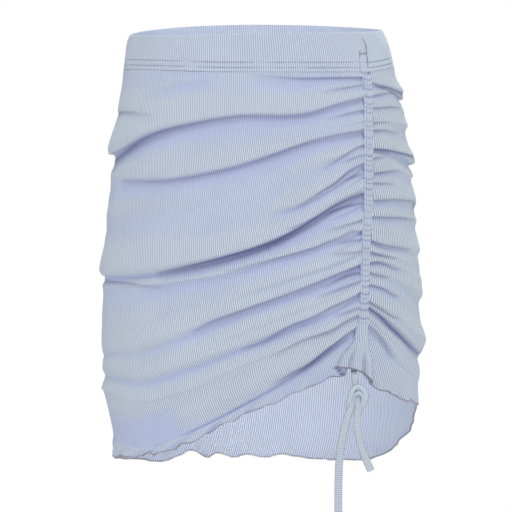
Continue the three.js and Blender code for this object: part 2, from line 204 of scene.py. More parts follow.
def ease(x, low, high):
    """Rises smoothly from 0 at low to 1 at high."""
    t = np.clip((x - low) / (high - low), 0, 1)
    return t * t * (3 - 2 * t)


print("halfway along a rise from 0 to 10:", smooth([0, 1], [0, 10], 0.5))

# %% [markdown]
# # The drawstring
# A real drawstring is a flat knitted tube 7 to 8 mm wide. It comes out of the mouth at the
# channel's foot, is tied in one overhand knot, and its two ends hang free, one short and one
# long. Cloth simulation could drop it, but a limp cord that hangs free is settled by a few
# points of its route, so we sweep a flat oval along them. They are the CAD model's own points,
# with a few more in the mouth, in the knot and along the short end. The oval swells a little at
# every rib, because the ribs of this cord lie across it.

# %% The drawstring's routes
CORD_HALF_WIDTH = 3.8
CORD_HALF_THICK = 1.35
CORD_RIB = 2.05
CORD_EDGE_SHADE = 0.45  # how much painted shade darkens the cord's folded edges
RIM_FROM = 0.9  # how far out the painted shade of the edges begins, as a share of the half width
RIB_SWELL = 0.05  # how much the cord swells at a rib, as a share
TIP_SHARE = 0.6  # how wide the tip of an end is, as a share
SIDE_POWER, FACE_POWER = 0.8, 0.9  # below 1 they make the oval a little squarer
MOUTH_DROP = 338.0  # where the cord leaves the channel, at the middle of its painted shade
# how dark the painted shade is where the cord leaves the mouth, and how far along it reaches
MOUTH_SHADE, MOUTH_REACH = 0.95, 1.3
STRING_ROUTE = table(
    "across drop y wide",
    [97.4, 333.0, -90.0, 0.75],
    [97.8, 340.3, -91.5, 0.75],
    [98.2, 345.0, -94.0, 0.75],
    [98.6, 349.0, -96.0, 0.75],
    [99.0, 353.3, -97.0, 0.75],
    [98.8, 361.0, -97.6, 0.8],
    [97.6, 369.0, -97.6, 0.8],
    [95.3, 377.0, -97.0, 0.85],
    [91.8, 386.0, -97.0, 0.95],
    [89.0, 396.0, -96.5, 1],
    [86.0, 410.0, -96.0, 1],
    [83.5, 429.0, -95.5, 1],
    [82.5, 450.0, -95.5, 1],
    [82.3, 470.0, -95.5, 1],
    [82.4, 500.0, -95.5, 1],
)
SHORT_ROUTE = table(
    "across drop y wide",
    [101.4, 366.0, -98.0, 0.85],
    [102.0, 370.5, -98.4, 0.9],
    [102.3, 375.0, -98.0, 0.93],
    [102.3, 379.2, -97.0, 0.95],
    [101.6, 384.5, -97.0, 0.95],
    [101.2, 390.0, -97.0, 0.95],
    [101.4, 396.0, -97.0, 0.95],
    [102.0, 401.5, -97.0, 0.95],
    [103.0, 407.0, -97.0, 0.95],
    [104.3, 412.5, -97.0, 0.95],
    [105.9, 418.0, -97.0, 0.95],
    [107.5, 423.0, -97.0, 0.95],
    [109.5, 428.0, -97.0, 0.95],
    [111.5, 433.0, -97.0, 0.95],
    [115.2, 441.0, -97.0, 0.95],
)


def reach_along(points):
    """How far along a line each of its points lies."""
    return np.concatenate([[0], np.cumsum(np.linalg.norm(np.diff(points, axis=0), axis=1))])


def length_of(points):
    """How long a line of points is."""
    return float(np.linalg.norm(np.diff(points, axis=0), axis=1).sum())


def unit(vectors):
    """The same directions, each of length 1."""
    return vectors / np.linalg.norm(vectors, axis=-1, keepdims=True)


def bell(x):
    """A smooth hump, 1 at 0 and almost gone at 2 on either side."""
    return np.exp(-(x**2))


def squarer(x, power):
    """A number from -1 to 1, pushed outwards by a power below 1."""
    return np.sign(x) * np.abs(x) ** power


def route_points(route, spacing):
    """Points at an even spacing along a smooth curve through a route, and the widths there."""
    points = point_seen(column(route, "across"), column(route, "drop"), column(route, "y"))
    reach = reach_along(points)
    count = int(round(reach[-1] / spacing)) + 1
    even = np.linspace(0, reach[-1], count)
    centres = np.stack([smooth(reach, points[:, k], even) for k in range(3)], axis=-1)
    return centres, smooth(reach, column(route, "wide"), even)


def flat_cord(name, centres, wide, half_width, half_thick, rib, facing, rim_shade=CORD_EDGE_SHADE, sides=16):
    """A flat knitted cord along a line of centres, its broad side turned to the facing way."""
    way = unit(np.gradient(centres, axis=0))
    across = unit(np.cross(way, facing))
    out = np.cross(across, way)
    reach = reach_along(centres)
    swell = 1 + RIB_SWELL * np.cos(2 * np.pi * reach / rib)
    end = np.clip(np.minimum(reach, reach[-1] - reach) / half_thick, 0, 1)
    swell *= TIP_SHARE + (1 - TIP_SHARE) * np.sqrt(1 - (1 - end) ** 2)
    turn = np.linspace(0, 2 * np.pi, sides, endpoint=False)
    beside = half_width * squarer(np.cos(turn), SIDE_POWER)
    thick = half_thick * squarer(np.sin(turn), FACE_POWER)
    flat = beside[None, :, None] * across[:, None] * wide[:, None, None]
    flat += thick[:, None] * out[:, None]
    points = centres[:, None] + flat * swell[:, None, None]
    # painted shade along the cord's folded edges and at the channel's mouth
    edge = np.where(np.abs(np.cos(turn)) > RIM_FROM, rim_shade, 0.0)
    mouth = bell((-centres[:, 2:] - MOUTH_DROP) / MOUTH_REACH)
    shade = np.maximum(edge, MOUTH_SHADE * mouth)
    ribs = np.broadcast_to((reach / rib)[:, None], points.shape[:2])
    down = np.broadcast_to(turn / turn[-1] * half_width * 4, points.shape[:2])
    marks = {"crease": shade[:, ::-1]}
    made = cloth_mesh(name, points[:, ::-1], ribs, down[:, ::-1], marks, closed_round=True)
    close_ends(made, len(centres), sides)
    return made


def close_ends(made, rows, columns):
    """Covers both open ends of a tube with a face."""
    mesh = made.data
    first = list(range(columns - 1, -1, -1))
    last = [(rows - 1) * columns + k for k in range(columns)]
    points = [tuple(vertex.co) for vertex in mesh.vertices]
    old = [tuple(face.vertices) for face in mesh.polygons]
    uv = np.zeros(len(mesh.loops) * 2, np.float32)
    mesh.uv_layers["knit"].data.foreach_get("uv", uv)
    closed = bpy.data.meshes.new(mesh.name)
    closed.from_pydata(points, [], old + [first, last])
    extra = np.zeros(4 * columns, np.float32)
    layer = closed.uv_layers.new(name="knit")
    layer.data.foreach_set("uv", np.concatenate([uv, extra]))
    shade = np.zeros(len(mesh.vertices), np.float32)
    mesh.attributes["crease"].data.foreach_get("value", shade)
    closed.attributes.new("crease", "FLOAT", "POINT").data.foreach_set("value", shade)
    closed.shade_smooth()
    made.data = closed


TO_FRONT = np.array([0.0, -1.0, 0.0])
CORD_SECTION = (CORD_HALF_WIDTH, CORD_HALF_THICK, CORD_RIB, TO_FRONT)
string_centres, string_wide = route_points(STRING_ROUTE, CORD_RIB / 4)
short_centres, short_wide = route_points(SHORT_ROUTE, CORD_RIB / 4)
string = flat_cord("drawstring", string_centres, string_wide, *CORD_SECTION)
short_end = flat_cord("short_end", short_centres, short_wide, *CORD_SECTION)
for made, centres in ((string, string_centres), (short_end, short_centres)):
    print(made.name, "is", round(length_of(centres)), "mm long")

# %% [markdown]
# # The knot
# Seen from the front the knot is two wraps, one inside the other. The outer one leaves the long
# end on the left, arches over the top and comes down on the right. The inner one follows it
# closely, and the short end comes out from beneath. A simulated cord could be tied, but it
# would settle in its own way. Each wrap is a length of the same flat cord pulled narrow, so the
# knot is made of two bands swept along short routes, which press into each other.

# %% The knot
OUTER_WRAP = table(
    "across drop y wide",
    [91.6, 380.0, -93.0, 0.8],
    [92.8, 373.0, -96.6, 0.95],
    [94.6, 366.5, -100.0, 1],
    [96.3, 361.2, -101.8, 1],
    [99.2, 357.6, -102.6, 1],
    [102.6, 356.6, -102.8, 1],
    [106.2, 358.4, -102.6, 1],
    [109.0, 362.4, -102.2, 1],
    [109.9, 367.2, -101.6, 1],
    [108.6, 372.4, -99.6, 1],
    [105.6, 377.4, -96.0, 0.85],
    [102.8, 380.6, -92.6, 0.7],
)
INNER_WRAP = table(
    "across drop y wide",
    [96.2, 371.6, -95.0, 0.7],
    [97.2, 367.6, -98.6, 0.8],
    [99.2, 364.4, -100.4, 0.8],
    [102.4, 362.6, -101.2, 0.8],
    [105.6, 364.0, -101.2, 0.8],
    [107.0, 368.0, -100.8, 0.8],
    [106.4, 372.6, -98.6, 0.8],
    [104.2, 377.0, -94.0, 0.7],
)
WRAP_HALF_WIDTH = 2.6
WRAP_HALF_THICK = 1.6
# painted shade along the wraps' edges, where the two press into each other
WRAP_EDGE_SHADE = 0.95
WRAP_STEP = 0.6
WRAP_SECTION = (WRAP_HALF_WIDTH, WRAP_HALF_THICK, CORD_RIB, TO_FRONT)


def join(name, parts):
    """One object from several, which are used up."""
    bpy.ops.object.select_all(action="DESELECT")
    for part in parts:
        part.select_set(True)
    bpy.context.view_layer.objects.active = parts[0]
    bpy.ops.object.join()
    parts[0].name = name
    return parts[0]


wraps = []
for number, route in enumerate((OUTER_WRAP, INNER_WRAP)):
    centres, wide = route_points(route, WRAP_STEP)
    wraps.append(flat_cord(f"wrap_{number}", centres, wide, *WRAP_SECTION, rim_shade=WRAP_EDGE_SHADE))
knot = join("knot", wraps)
print("the knot has", triangles(knot), "triangles")

# %% [markdown]
# # The body's form
# Worn, the skirt takes the form of a waist and hips: an oval at every height, deeper at the
# back than at the front. A sculpted form would do, but a table of ovals is short and easy to
# change, and this one is the table that the plain model was built from, so both keep one
# shape. Angles run round it from the middle front, positive to the wearer's left.

# %% The body's form
SECTIONS = table(
    "drop shift half front back",
    [-12, 1.0, 123.0, 91, 92],
    [0, 1.0, 125.5, 92, 93],
    [12, 1.5, 130.0, 94, 95],
    [30, 2.5, 134.0, 97, 99],
    [45, 3.0, 136.0, 100, 103],
    [75, 4.5, 140.5, 104, 111],
    [110, 4.5, 145.0, 108, 120],
    [150, 5.0, 150.5, 111, 128],
    [190, 5.0, 154.0, 112, 133],
    [230, 5.0, 157.0, 113, 135],
    [280, 5.0, 158.5, 113, 134],
    [340, 5.0, 158.0, 112, 129],
    [385, 4.0, 156.0, 110, 124],
    [415, 2.5, 150.0, 107, 121],
    [440, 1.5, 142.0, 104, 118],
)
SIDE = math.pi / 2
HEIGHT_ROUNDS, ANGLE_ROUNDS = 3, 5  # each round brings a place seen nearer to its true one


def body_at(angle, z):
    """The body's point and level outward direction at an angle and a height."""
    angle, z = np.broadcast_arrays(np.asarray(angle, float), np.asarray(z, float))
    shift = along(SECTIONS, "drop", "shift", -z)
    half = along(SECTIONS, "drop", "half", -z)
    front = along(SECTIONS, "drop", "front", -z)
    back = along(SECTIONS, "drop", "back", -z)
    depth = np.where(np.cos(angle) > 0, front, back)
    point = np.stack([shift + half * np.sin(angle), -depth * np.cos(angle), z], axis=-1)
    out = np.stack([np.sin(angle) / half, -np.cos(angle) / depth, np.zeros_like(z)], axis=-1)
    return point, unit(out), shift, half


def true_height(drop, angle):
    """The height of the body where it shows at a drop."""
    z = -np.asarray(drop, float) + 0 * np.asarray(angle, float)
    for _ in range(HEIGHT_ROUNDS):
        point = body_at(angle, z)[0]
        z = -EYE_DROP - (drop - EYE_DROP) * (1 + point[..., 1] / EYE_DISTANCE)
    return z


def angle_seen(across, drop):
    """The angle on the front at which a place of the picture lies."""
    angle = np.zeros_like(np.asarray(across, float) + drop)
    for _ in range(ANGLE_ROUNDS):
        point, _, shift, half = body_at(angle, true_height(drop, angle))
        x = across * (1 + point[..., 1] / EYE_DISTANCE)
        angle = np.arcsin(np.clip((x - shift) / half, -1, 1))
    return angle


hip = body_at(np.linspace(0, 2 * math.pi, 200), -280.0)[0]
print("hips", round(length_of(hip)), "mm round")

# %% [markdown]
# # Where the cloth is drawn up
# A cord in the channel gathers the front, so lines that were level in the flat cloth now fan
# out from the channel to the side seams. Each row of these tables is one such line: how far
# below the waist it is at places from the channel's edge to the side seam. The next tables
# list the pleats, with how far each stands out near the channel, halfway and at the side, how
# wide it is, and between which parts of the way to the side seam it shows. A simulated seam
# that shrinks would gather the cloth too, but with folds in other places.

# %% Where the cloth is drawn up
CHANNEL_EDGES = table(
    "drop right left",
    [42, 114.5, 106.0],
    [60, 116.5, 108.0],
    [120, 117.0, 108.0],
    [170, 117.0, 108.0],
    [210, 114.5, 105.5],
    [250, 113.0, 105.0],
    [285, 112.0, 102.5],
    [305, 112.0, 99.0],
    [320, 113.5, 96.0],
    [335, 115.5, 91.0],
    [353, 116.0, 86.5],
)
FRONT_PLACES = [0, 0.11, 0.25, 0.45, 0.65, 0.84, 1]
FRONT_LINES = table(
    "channel near inner middle outer far side",
    [42, 42, 42, 42, 41.5, 40, 39],
    [48, 48.5, 49, 48, 53, 61, 76],
    [68, 76, 85, 87, 93, 103, 122],
    [102, 108.5, 116, 131, 146, 151, 148],
    [135, 154.5, 173.5, 188, 198, 206, 210],
    [163.5, 176.5, 197, 220.5, 234.5, 243.5, 245],
    [200, 212, 223, 239, 250.5, 257, 258],
    [234.5, 247.5, 262, 281, 301.5, 318, 322],
    [262, 280, 294.5, 316, 335.5, 350, 342],
    [285, 299, 313.5, 335, 359, 372, 358],
    [297, 317.5, 344.5, 375, 401, 418, 406],
    [344, 352, 368, 388.5, 413.5, 425, 426],
)
SIDE_FRONT_PLACES = [0, 0.3, 0.6, 1]
SIDE_FRONT_LINES = table(
    "channel inner outer side",
    [42, 41, 39.5, 37],
    [54, 56, 58.5, 68],
    [66, 64, 63.5, 74],
    [79, 79, 77.5, 82],
    [92, 92, 93, 97],
    [100, 101, 105, 111],
    [118, 119, 123, 133],
    [143, 142, 141, 147],
    [171, 171, 171.5, 176],
    [187, 187, 187.5, 193],
    [209, 216, 218, 222],
    [222, 225, 230, 239],
    [232, 232, 237.5, 250],
    [278, 289.5, 302.5, 324],
    [296, 312, 332, 350],
    [353, 361, 367, 373],
)
FRONT_PLEATS = table(
    "start near mid far wide begin reach",
    [48, 2.0, 1.2, 0, 4, 0, 0.5],
    [48, 0, 0.4, 1.6, 7, 0.5, 1.2],
    [57, 1.4, 0, 0, 3.5, 0, 0.16],
    [68, 2.4, 2.2, 7.0, 5, 0, 1.5],
    [80, 1.3, 0, 0, 3.5, 0, 0.16],
    [91, 1.1, 0, 0, 3.5, 0, 0.14],
    [102, 2.3, 2.0, 1.0, 5, 0, 1.2],
    [115, 1.5, 0.8, 0, 4, 0, 0.25],
    [126, 1.0, 0, 0, 3.5, 0, 0.12],
    [135, 2.8, 2.0, 0, 5, 0, 0.4],
    [145, 1.3, 0, 0, 3.5, 0, 0.16],
    [154.5, 1.5, 0, 0, 3.5, 0, 0.18],
    [163.5, 2.8, 5.4, 4.2, 6.5, 0, 1.5],
    [174.5, 2.2, 0, 0, 4, 0, 0.2],
    [188.5, 1.7, 0, 0, 4, 0, 0.2],
    [200, 2.6, 2.2, 1.0, 5.5, 0, 1.2],
    [209, 1.5, 0, 0, 3.5, 0, 0.2],
    [221, 2.0, 1.2, 0, 4.5, 0, 0.55],
    [234.5, 3.0, 3.2, 1.4, 5.5, 0, 1.2],
    [243, 2.0, 0, 0, 3.5, 0, 0.2],
    [250.5, 1.4, 1.2, 0, 4, 0, 0.6],
    [262, 2.8, 3.2, 1.6, 6.5, 0, 1.2],
    [277, 1.4, 0, 0, 3.5, 0, 0.14],
    [285, 2.6, 2.0, 2.0, 5, 0, 1.3],
    [291, 0, 0.6, 2.6, 6, 0.45, 1.4],
    [297, 4.2, 4.2, 0.6, 7, 0, 0.75],
)
SIDE_FRONT_PLEATS = table(
    "start near mid far wide begin reach",
    [54, 2.2, 2.8, 8.0, 5, 0, 1.4],
    [66, 1.8, 1.4, 0.6, 4, 0, 0.9],
    [79, 1.2, 1.0, 1.4, 4, 0, 1.1],
    [92, 1.4, 1.4, 4.2, 4.5, 0, 1.3],
    [100, 2.0, 1.8, 1.6, 4, 0, 1.2],
    [118, 3.0, 3.4, 8.0, 5.5, 0, 1.5],
    [128, 1.5, 0, 0, 3.5, 0, 0.3],
    [143, 2.0, 1.8, 2.2, 5, 0, 1.3],
    [154, 1.2, 0.5, 0, 3.5, 0, 0.5],
    [171, 2.4, 2.6, 3.0, 6, 0, 1.4],
    [187, 1.6, 1.8, 2.4, 5, 0, 1.3],
    [199, 1.0, 0.5, 0, 3.5, 0, 0.5],
    [209, 2.6, 2.6, 2.8, 5, 0, 1.4],
    [222, 2.0, 1.8, 1.4, 4.5, 0, 1.2],
    [232, 2.4, 2.0, 1.4, 4.5, 0, 1.2],
    [243, 1.8, 1.5, 4.2, 5, 0, 1.4],
    [255, 1.5, 1.0, 0.8, 4, 0, 1.1],
    [270, 2.0, 1.4, 3.0, 4.5, 0, 1.3],
    [278, 2.6, 3.2, 4.8, 5, 0, 1.6],
    [287, 1.5, 0.9, 0.6, 4, 0, 1.0],
    [296, 2.2, 1.8, 1.0, 6, 0, 1.1],
)
FRONT = {
    "lines": FRONT_LINES,
    "places": FRONT_PLACES,
    "pleats": FRONT_PLEATS,
    "side": -1,
    "edge": "left",
}
SIDE_FRONT = {
    "lines": SIDE_FRONT_LINES,
    "places": SIDE_FRONT_PLACES,
    "pleats": SIDE_FRONT_PLEATS,
    "side": 1,
    "edge": "right",
}
print(len(FRONT_PLEATS) + len(SIDE_FRONT_PLEATS), "pleats run from the channel")

# %% [markdown]
# # A pleat's profile
# A drawn-up pleat is not a wave. Cloth lies slack above, rolls over a round ridge and turns
# in sharply at a crease below it. So a ridge here is a soft lobe, a crease is a narrow one with
# a pointed bottom, and the whole pleat sags under its own weight, more where it stands out
# further, which lets the biggest ones hang over the crease below. A displacement texture
# would give every fold the same look, and these differ in height, width and reach.

# %% A pleat's profile
SPREAD = 0.8  # how much wider a pleat is at the side seam
RIDGE_ABOVE, RIDGE_WIDTHS = 0.5, (1.2, 0.6)  # its place and its widths above and below
CREASE_BELOW, CREASE_WIDTHS = 0.45, (0.5, 0.8)
CREASE_SHARE = 0.7  # how deep the crease is for the height of its ridge
POINTED = 1.5  # the power of a lobe with a pointed tip
HOLLOW_LIMIT = 2.8  # a pleat higher than this has no deeper crease below it
FADE = 0.12
CALM_TOP = 5
BACK_TURN = math.radians(50)
SAG = 0.55
TUCK = 5.0  # how much further in the lower end of the wearer's right side lies
TUCK_TURN, TUCK_DROP, TUCK_REACH = 0.45, 392.0, 48.0


def lobe(x, before, after, power=2.0):
    """A hump of height 1 at 0, with its own width on each side."""
    return np.exp(-(np.abs(x / np.where(x < 0, before, after)) ** power))


def pleat_height(pleat, part):
    """How far a pleat stands out at parts of the way from the channel to the side seam."""
    first = pleat["near"] + (pleat["mid"] - pleat["near"]) * part / 0.5
    second = pleat["mid"] + (pleat["far"] - pleat["mid"]) * np.minimum((part - 0.5) / 0.5, 1)
    height = np.where(part < 0.5, first, second)
    if pleat["begin"] > 0:
        height = height * ease(part, pleat["begin"] - FADE, pleat["begin"] + FADE)
    return height * (1 - ease(part, pleat["reach"] - FADE, pleat["reach"]))


def relief(pleats, start, part):
    """How far the pleats push the cloth out, on the line that leaves the channel at a drop."""
    height = np.zeros(np.broadcast(start, part).shape)
    for pleat in pleats:
        x = (start - pleat["start"]) / (pleat["wide"] * (1 + SPREAD * np.minimum(part, 1)))
        ridge = lobe(x + RIDGE_ABOVE, *RIDGE_WIDTHS)
        crease = lobe(x - CREASE_BELOW, *CREASE_WIDTHS, POINTED)
        out = pleat_height(pleat, part)
        height += out * ridge - CREASE_SHARE * np.minimum(out, HOLLOW_LIMIT) * crease
    top = pleats[0]["start"] - CALM_TOP
    return height * ease(start, top, top + CALM_TOP)


def lines_at(panel, part):
    """The drop of each drawn-up line at parts of the way to the side seam."""
    lines = [list(line.values()) for line in panel["lines"]]
    return np.stack([smooth(panel["places"], drops, part) for drops in lines])


def tuck(angle, z):
    """How far the lower end of the wearer's right side lies further in."""
    off = (np.mod(angle, 2 * math.pi) - 3 * SIDE) / TUCK_TURN
    return TUCK * bell(off) * bell((-z - TUCK_DROP) / TUCK_REACH)


def stand_out(angle, z, height):
    """The cloth's outer face where it stands out from the body by a height, sagging."""
    point, out = body_at(angle, z)[:2]
    point = point + out * (height - tuck(angle, z))[..., None]
    point[..., 2] -= SAG * np.maximum(height, 0)
    return point


print("a 3 mm pleat's crest is", round(float(relief([FRONT_PLEATS[9]], 132.5, 0.0)), 2), "mm out")

# %% [markdown]
# # How the ribs run
# The ribs of the knit were upright in the flat cloth and cross the drawn-up lines squarely, so
# they lean wherever those lines slope. Beside the channel the stitching holds them upright. We
# want numbers over the cloth that rise by one at every rib, crossing them squarely, and keep the
# same pitch wherever they can. That is a least-squares fit: on a coarse grid, every edge says how
# many ribs it should cross, and one solve finds the numbers that disagree least.

# %% How the ribs run
RIB = 2.05  # width of one rib where the cloth isn't stretched
SIDE_RIB = 2.6  # the side front is stretched round the hip, which spreads its ribs
COARSE = (34, 22)  # rows and columns of the grid that the fit is made on


def number_ribs(points, lean):
    """Rib numbers at the points of a grid; lean is 0 for upright ribs and 1 for square ones."""
    i = np.linspace(0, points.shape[0] - 1, COARSE[0]).round().astype(int)
    j = np.linspace(0, points.shape[1] - 1, COARSE[1]).round().astype(int)
    coarse = points[np.ix_(i, j)]
    way = np.gradient(coarse, axis=1)
    level = unit(way * [1, 1, 0])
    lean = np.broadcast_to(lean, points.shape[:2])[np.ix_(i, j)][..., None]
    way = unit(lean * unit(way) + (1 - lean) * level)
    index = np.arange(coarse.shape[0] * coarse.shape[1]).reshape(coarse.shape[:2])
    matrix = np.zeros((index.size, index.size))
    wanted = np.zeros(index.size)
    for one, other in (
        ((slice(None), slice(None, -1)), (slice(None), slice(1, None))),
        ((slice(None, -1), slice(None)), (slice(1, None), slice(None))),
    ):
        edge = coarse[other] - coarse[one]
        ribs = np.einsum("ijk,ijk->ij", edge, way[one] + way[other]).ravel() / (2 * RIB)
        weight = 1 / np.linalg.norm(edge, axis=-1).ravel()
        a, b = index[one].ravel(), index[other].ravel()
        for p, q, sign in ((a, a, 1), (b, b, 1), (a, b, -1), (b, a, -1)):
            np.add.at(matrix, (p, q), sign * weight)
        np.add.at(wanted, a, -weight * ribs)
        np.add.at(wanted, b, weight * ribs)
    matrix[0, 0] += 1
    count = np.linalg.solve(matrix, wanted).reshape(coarse.shape[:2])
    all_rows, all_columns = np.arange(points.shape[0]), np.arange(points.shape[1])
    fine_rows = np.stack([smooth(i, numbers, all_rows) for numbers in count.T], axis=1)
    return np.stack([smooth(j, numbers, all_columns) for numbers in fine_rows])


def run_down(points):
    """How far down its column each point of a grid lies, in millimetres."""
    step = np.linalg.norm(np.diff(points, axis=0), axis=-1)
    return np.concatenate([np.zeros((1, points.shape[1])), np.cumsum(step, axis=0)])


def run_across(points):
    """How far along its row each point of a grid lies, in millimetres."""
    step = np.diff(points, axis=1, prepend=points[:, :1])
    return np.cumsum(np.linalg.norm(step, axis=-1), axis=1)


print("one rib for each", RIB, "mm of cloth")

# %% [markdown]
# Creases laid one by one
# The tables above give each pleat one even course. Real cloth is less tidy, so the creases that
# catch the eye are laid over them one at a time, as strokes. A stroke has a course, as places
# across and below the waist with the depth there, and a width above and below it. Its upper
# side is the narrow one, because there the cloth rolls over and turns in. A depth below nothing
# makes a ridge. A real fold closes on itself, which one sheet of points pushed outwards can't
# do, so each stroke also marks a thin line, and the material paints shade along it, where the
# closed fold would be in shadow.
# The back isn't seen, but its seams are pulled too, so drag lines like the front's fade across
# it. Their places count along the cloth from the wearer's right side seam.


# %% Creases laid one by one
THIN, THIN_LINE_SHADE = 1.45, 1.5  # a stroke narrower than this above gets this much more painted shade


def stroke(above, below, *course, ink=None):
    """A stroke from its widths and its course; thin creases get more painted shade for their depth."""
    ink = ink or (THIN_LINE_SHADE if above < THIN else 1.0)
    return {"above": above, "below": below, "ink": ink, "course": np.array(course, float)}


FRONT_STROKES = [
    stroke(1.5, 3.5, (2, 45, 0.3), (47, 48.6, 1.3), (79, 48, 1.9), (105, 47.5, 1.8)),
    stroke(4, 9, (-116, 70, 0.3), (-106, 63, 1.2), (-81, 58, 1.6), (-56, 53, 1.2), (-36, 49, 0.3)),
    stroke(1.4, 3, (70, 61, 0.2), (89, 58, 0.9), (105, 55, 1.0)),
    stroke(2.2, 9, (-150, 137, 2.4), (-138, 125, 2.8), (-106, 105, 2.6), (-56, 92, 2.0),
           (-16, 86, 1.6), (44, 85, 1.4), (84, 73, 1.6), (106, 67, 1.6)),
    stroke(1.6, 4, (-141, 85, 1.6), (-133, 82.5, 1.8), (-111, 83, 0.6), (-100, 84, 0.1)),
    stroke(1.3, 3, (75, 88.5, 0.2), (90, 84, 0.8), (106, 80, 1.0)),
    stroke(2, 8, (-131, 151, 0.6), (-96, 151, 1.4), (-71, 148, 1.6), (-36, 141, 1.6),
           (-6, 133, 1.6), (44, 115, 1.7), (64, 109, 1.7), (109, 99.5, 1.8)),
    stroke(1.4, 3.5, (70, 138, 0.2), (89, 125, 0.9), (99, 118, 1.2), (112, 113, 1.2)),
    stroke(1.2, 2.5, (88, 132, 0.2), (97, 128.5, 0.8), (106, 125, 0.9)),
    stroke(1.8, 5, (44, 175, 0.5), (64, 162, 1.8), (79, 153, 2.4), (94, 141, 2.4), (110, 132, 2.2)),
    stroke(1.2, 2.5, (86, 151, 0.3), (97, 147, 0.9), (106, 144, 1.0)),
    stroke(3.5, 9, (-96, 242, 0.6), (-76, 238, 1.6), (-36, 228, 2.6), (14, 213, 4.2),
           (44, 198, 4.0), (74, 178, 3.0), (89, 170, 2.6), (106, 163, 2.4), ink=1.25),
    stroke(1.3, 3, (34, 197, 0.4), (54, 190, 1.5), (74, 182.5, 1.8), (89, 177, 1.5), (106, 173, 1.4)),
    stroke(1.2, 2.5, (74, 200, 0.3), (95, 193, 0.9), (106, 189.5, 1.0)),
    stroke(2, 5, (-26, 240, 0.4), (14, 230, 1.4), (54, 219, 1.8), (74, 211, 1.8),
           (84, 207, 1.6), (96, 201, 1.4), (105, 201, 1.2)),
    stroke(1.2, 2.5, (85, 213, 0.3), (96, 211, 0.9), (105, 209.5, 1.0)),
    stroke(1.2, 2.5, (80, 224, 0.3), (95, 222, 0.9), (110, 220, 1.0)),
    stroke(2, 7, (-61, 300, 0.6), (-46, 292, 1.4), (-16, 281, 1.8), (14, 270, 1.8), (44, 259, 1.8),
           (64, 251, 2.0), (84, 243, 2.3), (105, 235, 2.4)),
    stroke(1.3, 3, (70, 257, 0.3), (89, 247, 1.2), (104, 242.5, 1.4)),
    stroke(1.3, 3, (66, 266, 0.3), (84, 259, 1.0), (104, 251, 1.2)),
    stroke(1.2, 2.5, (82, 286, 0.3), (93, 281, 0.9), (103, 277, 1.1)),
    stroke(1.8, 6, (-11, 318, 0.5), (9, 311, 1.2), (34, 296, 1.8), (54, 288, 1.8), (74, 277, 1.9),
           (89, 270, 2.0), (104, 262, 2.0)),
    stroke(1.6, 5, (20, 323, 0.4), (44, 310, 1.2), (74, 300, 1.6), (89, 291, 1.8), (102, 284.5, 1.8)),
    stroke(2.2, 5, (20, 352, 0.5), (34, 344, 2.0), (54, 334, 2.8), (69, 322, 3.0), (84, 310, 2.6),
           (94, 301, 1.8), (102, 297, 1.4)),
    stroke(1.6, 4, (-151, 251, 1.6), (-130, 253, 1.4), (-106, 256, 0.6), (-90, 257, 0.1)),
    stroke(5, 4, (-152, 130, -3.6), (-140, 121, -2.2), (-115, 108, -0.4)),
    stroke(1.1, 1.1, (82, 338.5, 2.2), (84, 341, 3.0), (86, 344, 3.0)),
    stroke(3, 4, (-153, 356, -1.0), (-141, 366, -1.4), (-126, 372, -1.0), (-90, 378, -0.3)),
]
BACK_STROKES = [
    stroke(4, 9, (250, 112, 0.2), (330, 104, 1.2), (400, 92, 2.0), (440, 84, 2.0)),
    stroke(4, 9, (230, 205, 0.2), (320, 190, 1.3), (400, 165, 2.0), (440, 152, 2.2)),
    stroke(4, 10, (215, 300, 0.2), (300, 285, 1.4), (390, 252, 2.2), (440, 232, 2.2)),
    stroke(4, 8, (300, 350, 0.2), (380, 330, 1.4), (440, 308, 1.8)),
    stroke(4, 9, (0, 136, 2.2), (50, 130, 1.8), (120, 120, 1.0), (180, 118, 0.2)),
    stroke(4, 9, (0, 252, 1.8), (60, 256, 1.6), (140, 262, 0.9), (210, 262, 0.2)),
    stroke(4, 8, (0, 345, 1.6), (70, 352, 1.2), (150, 352, 0.2)),
]
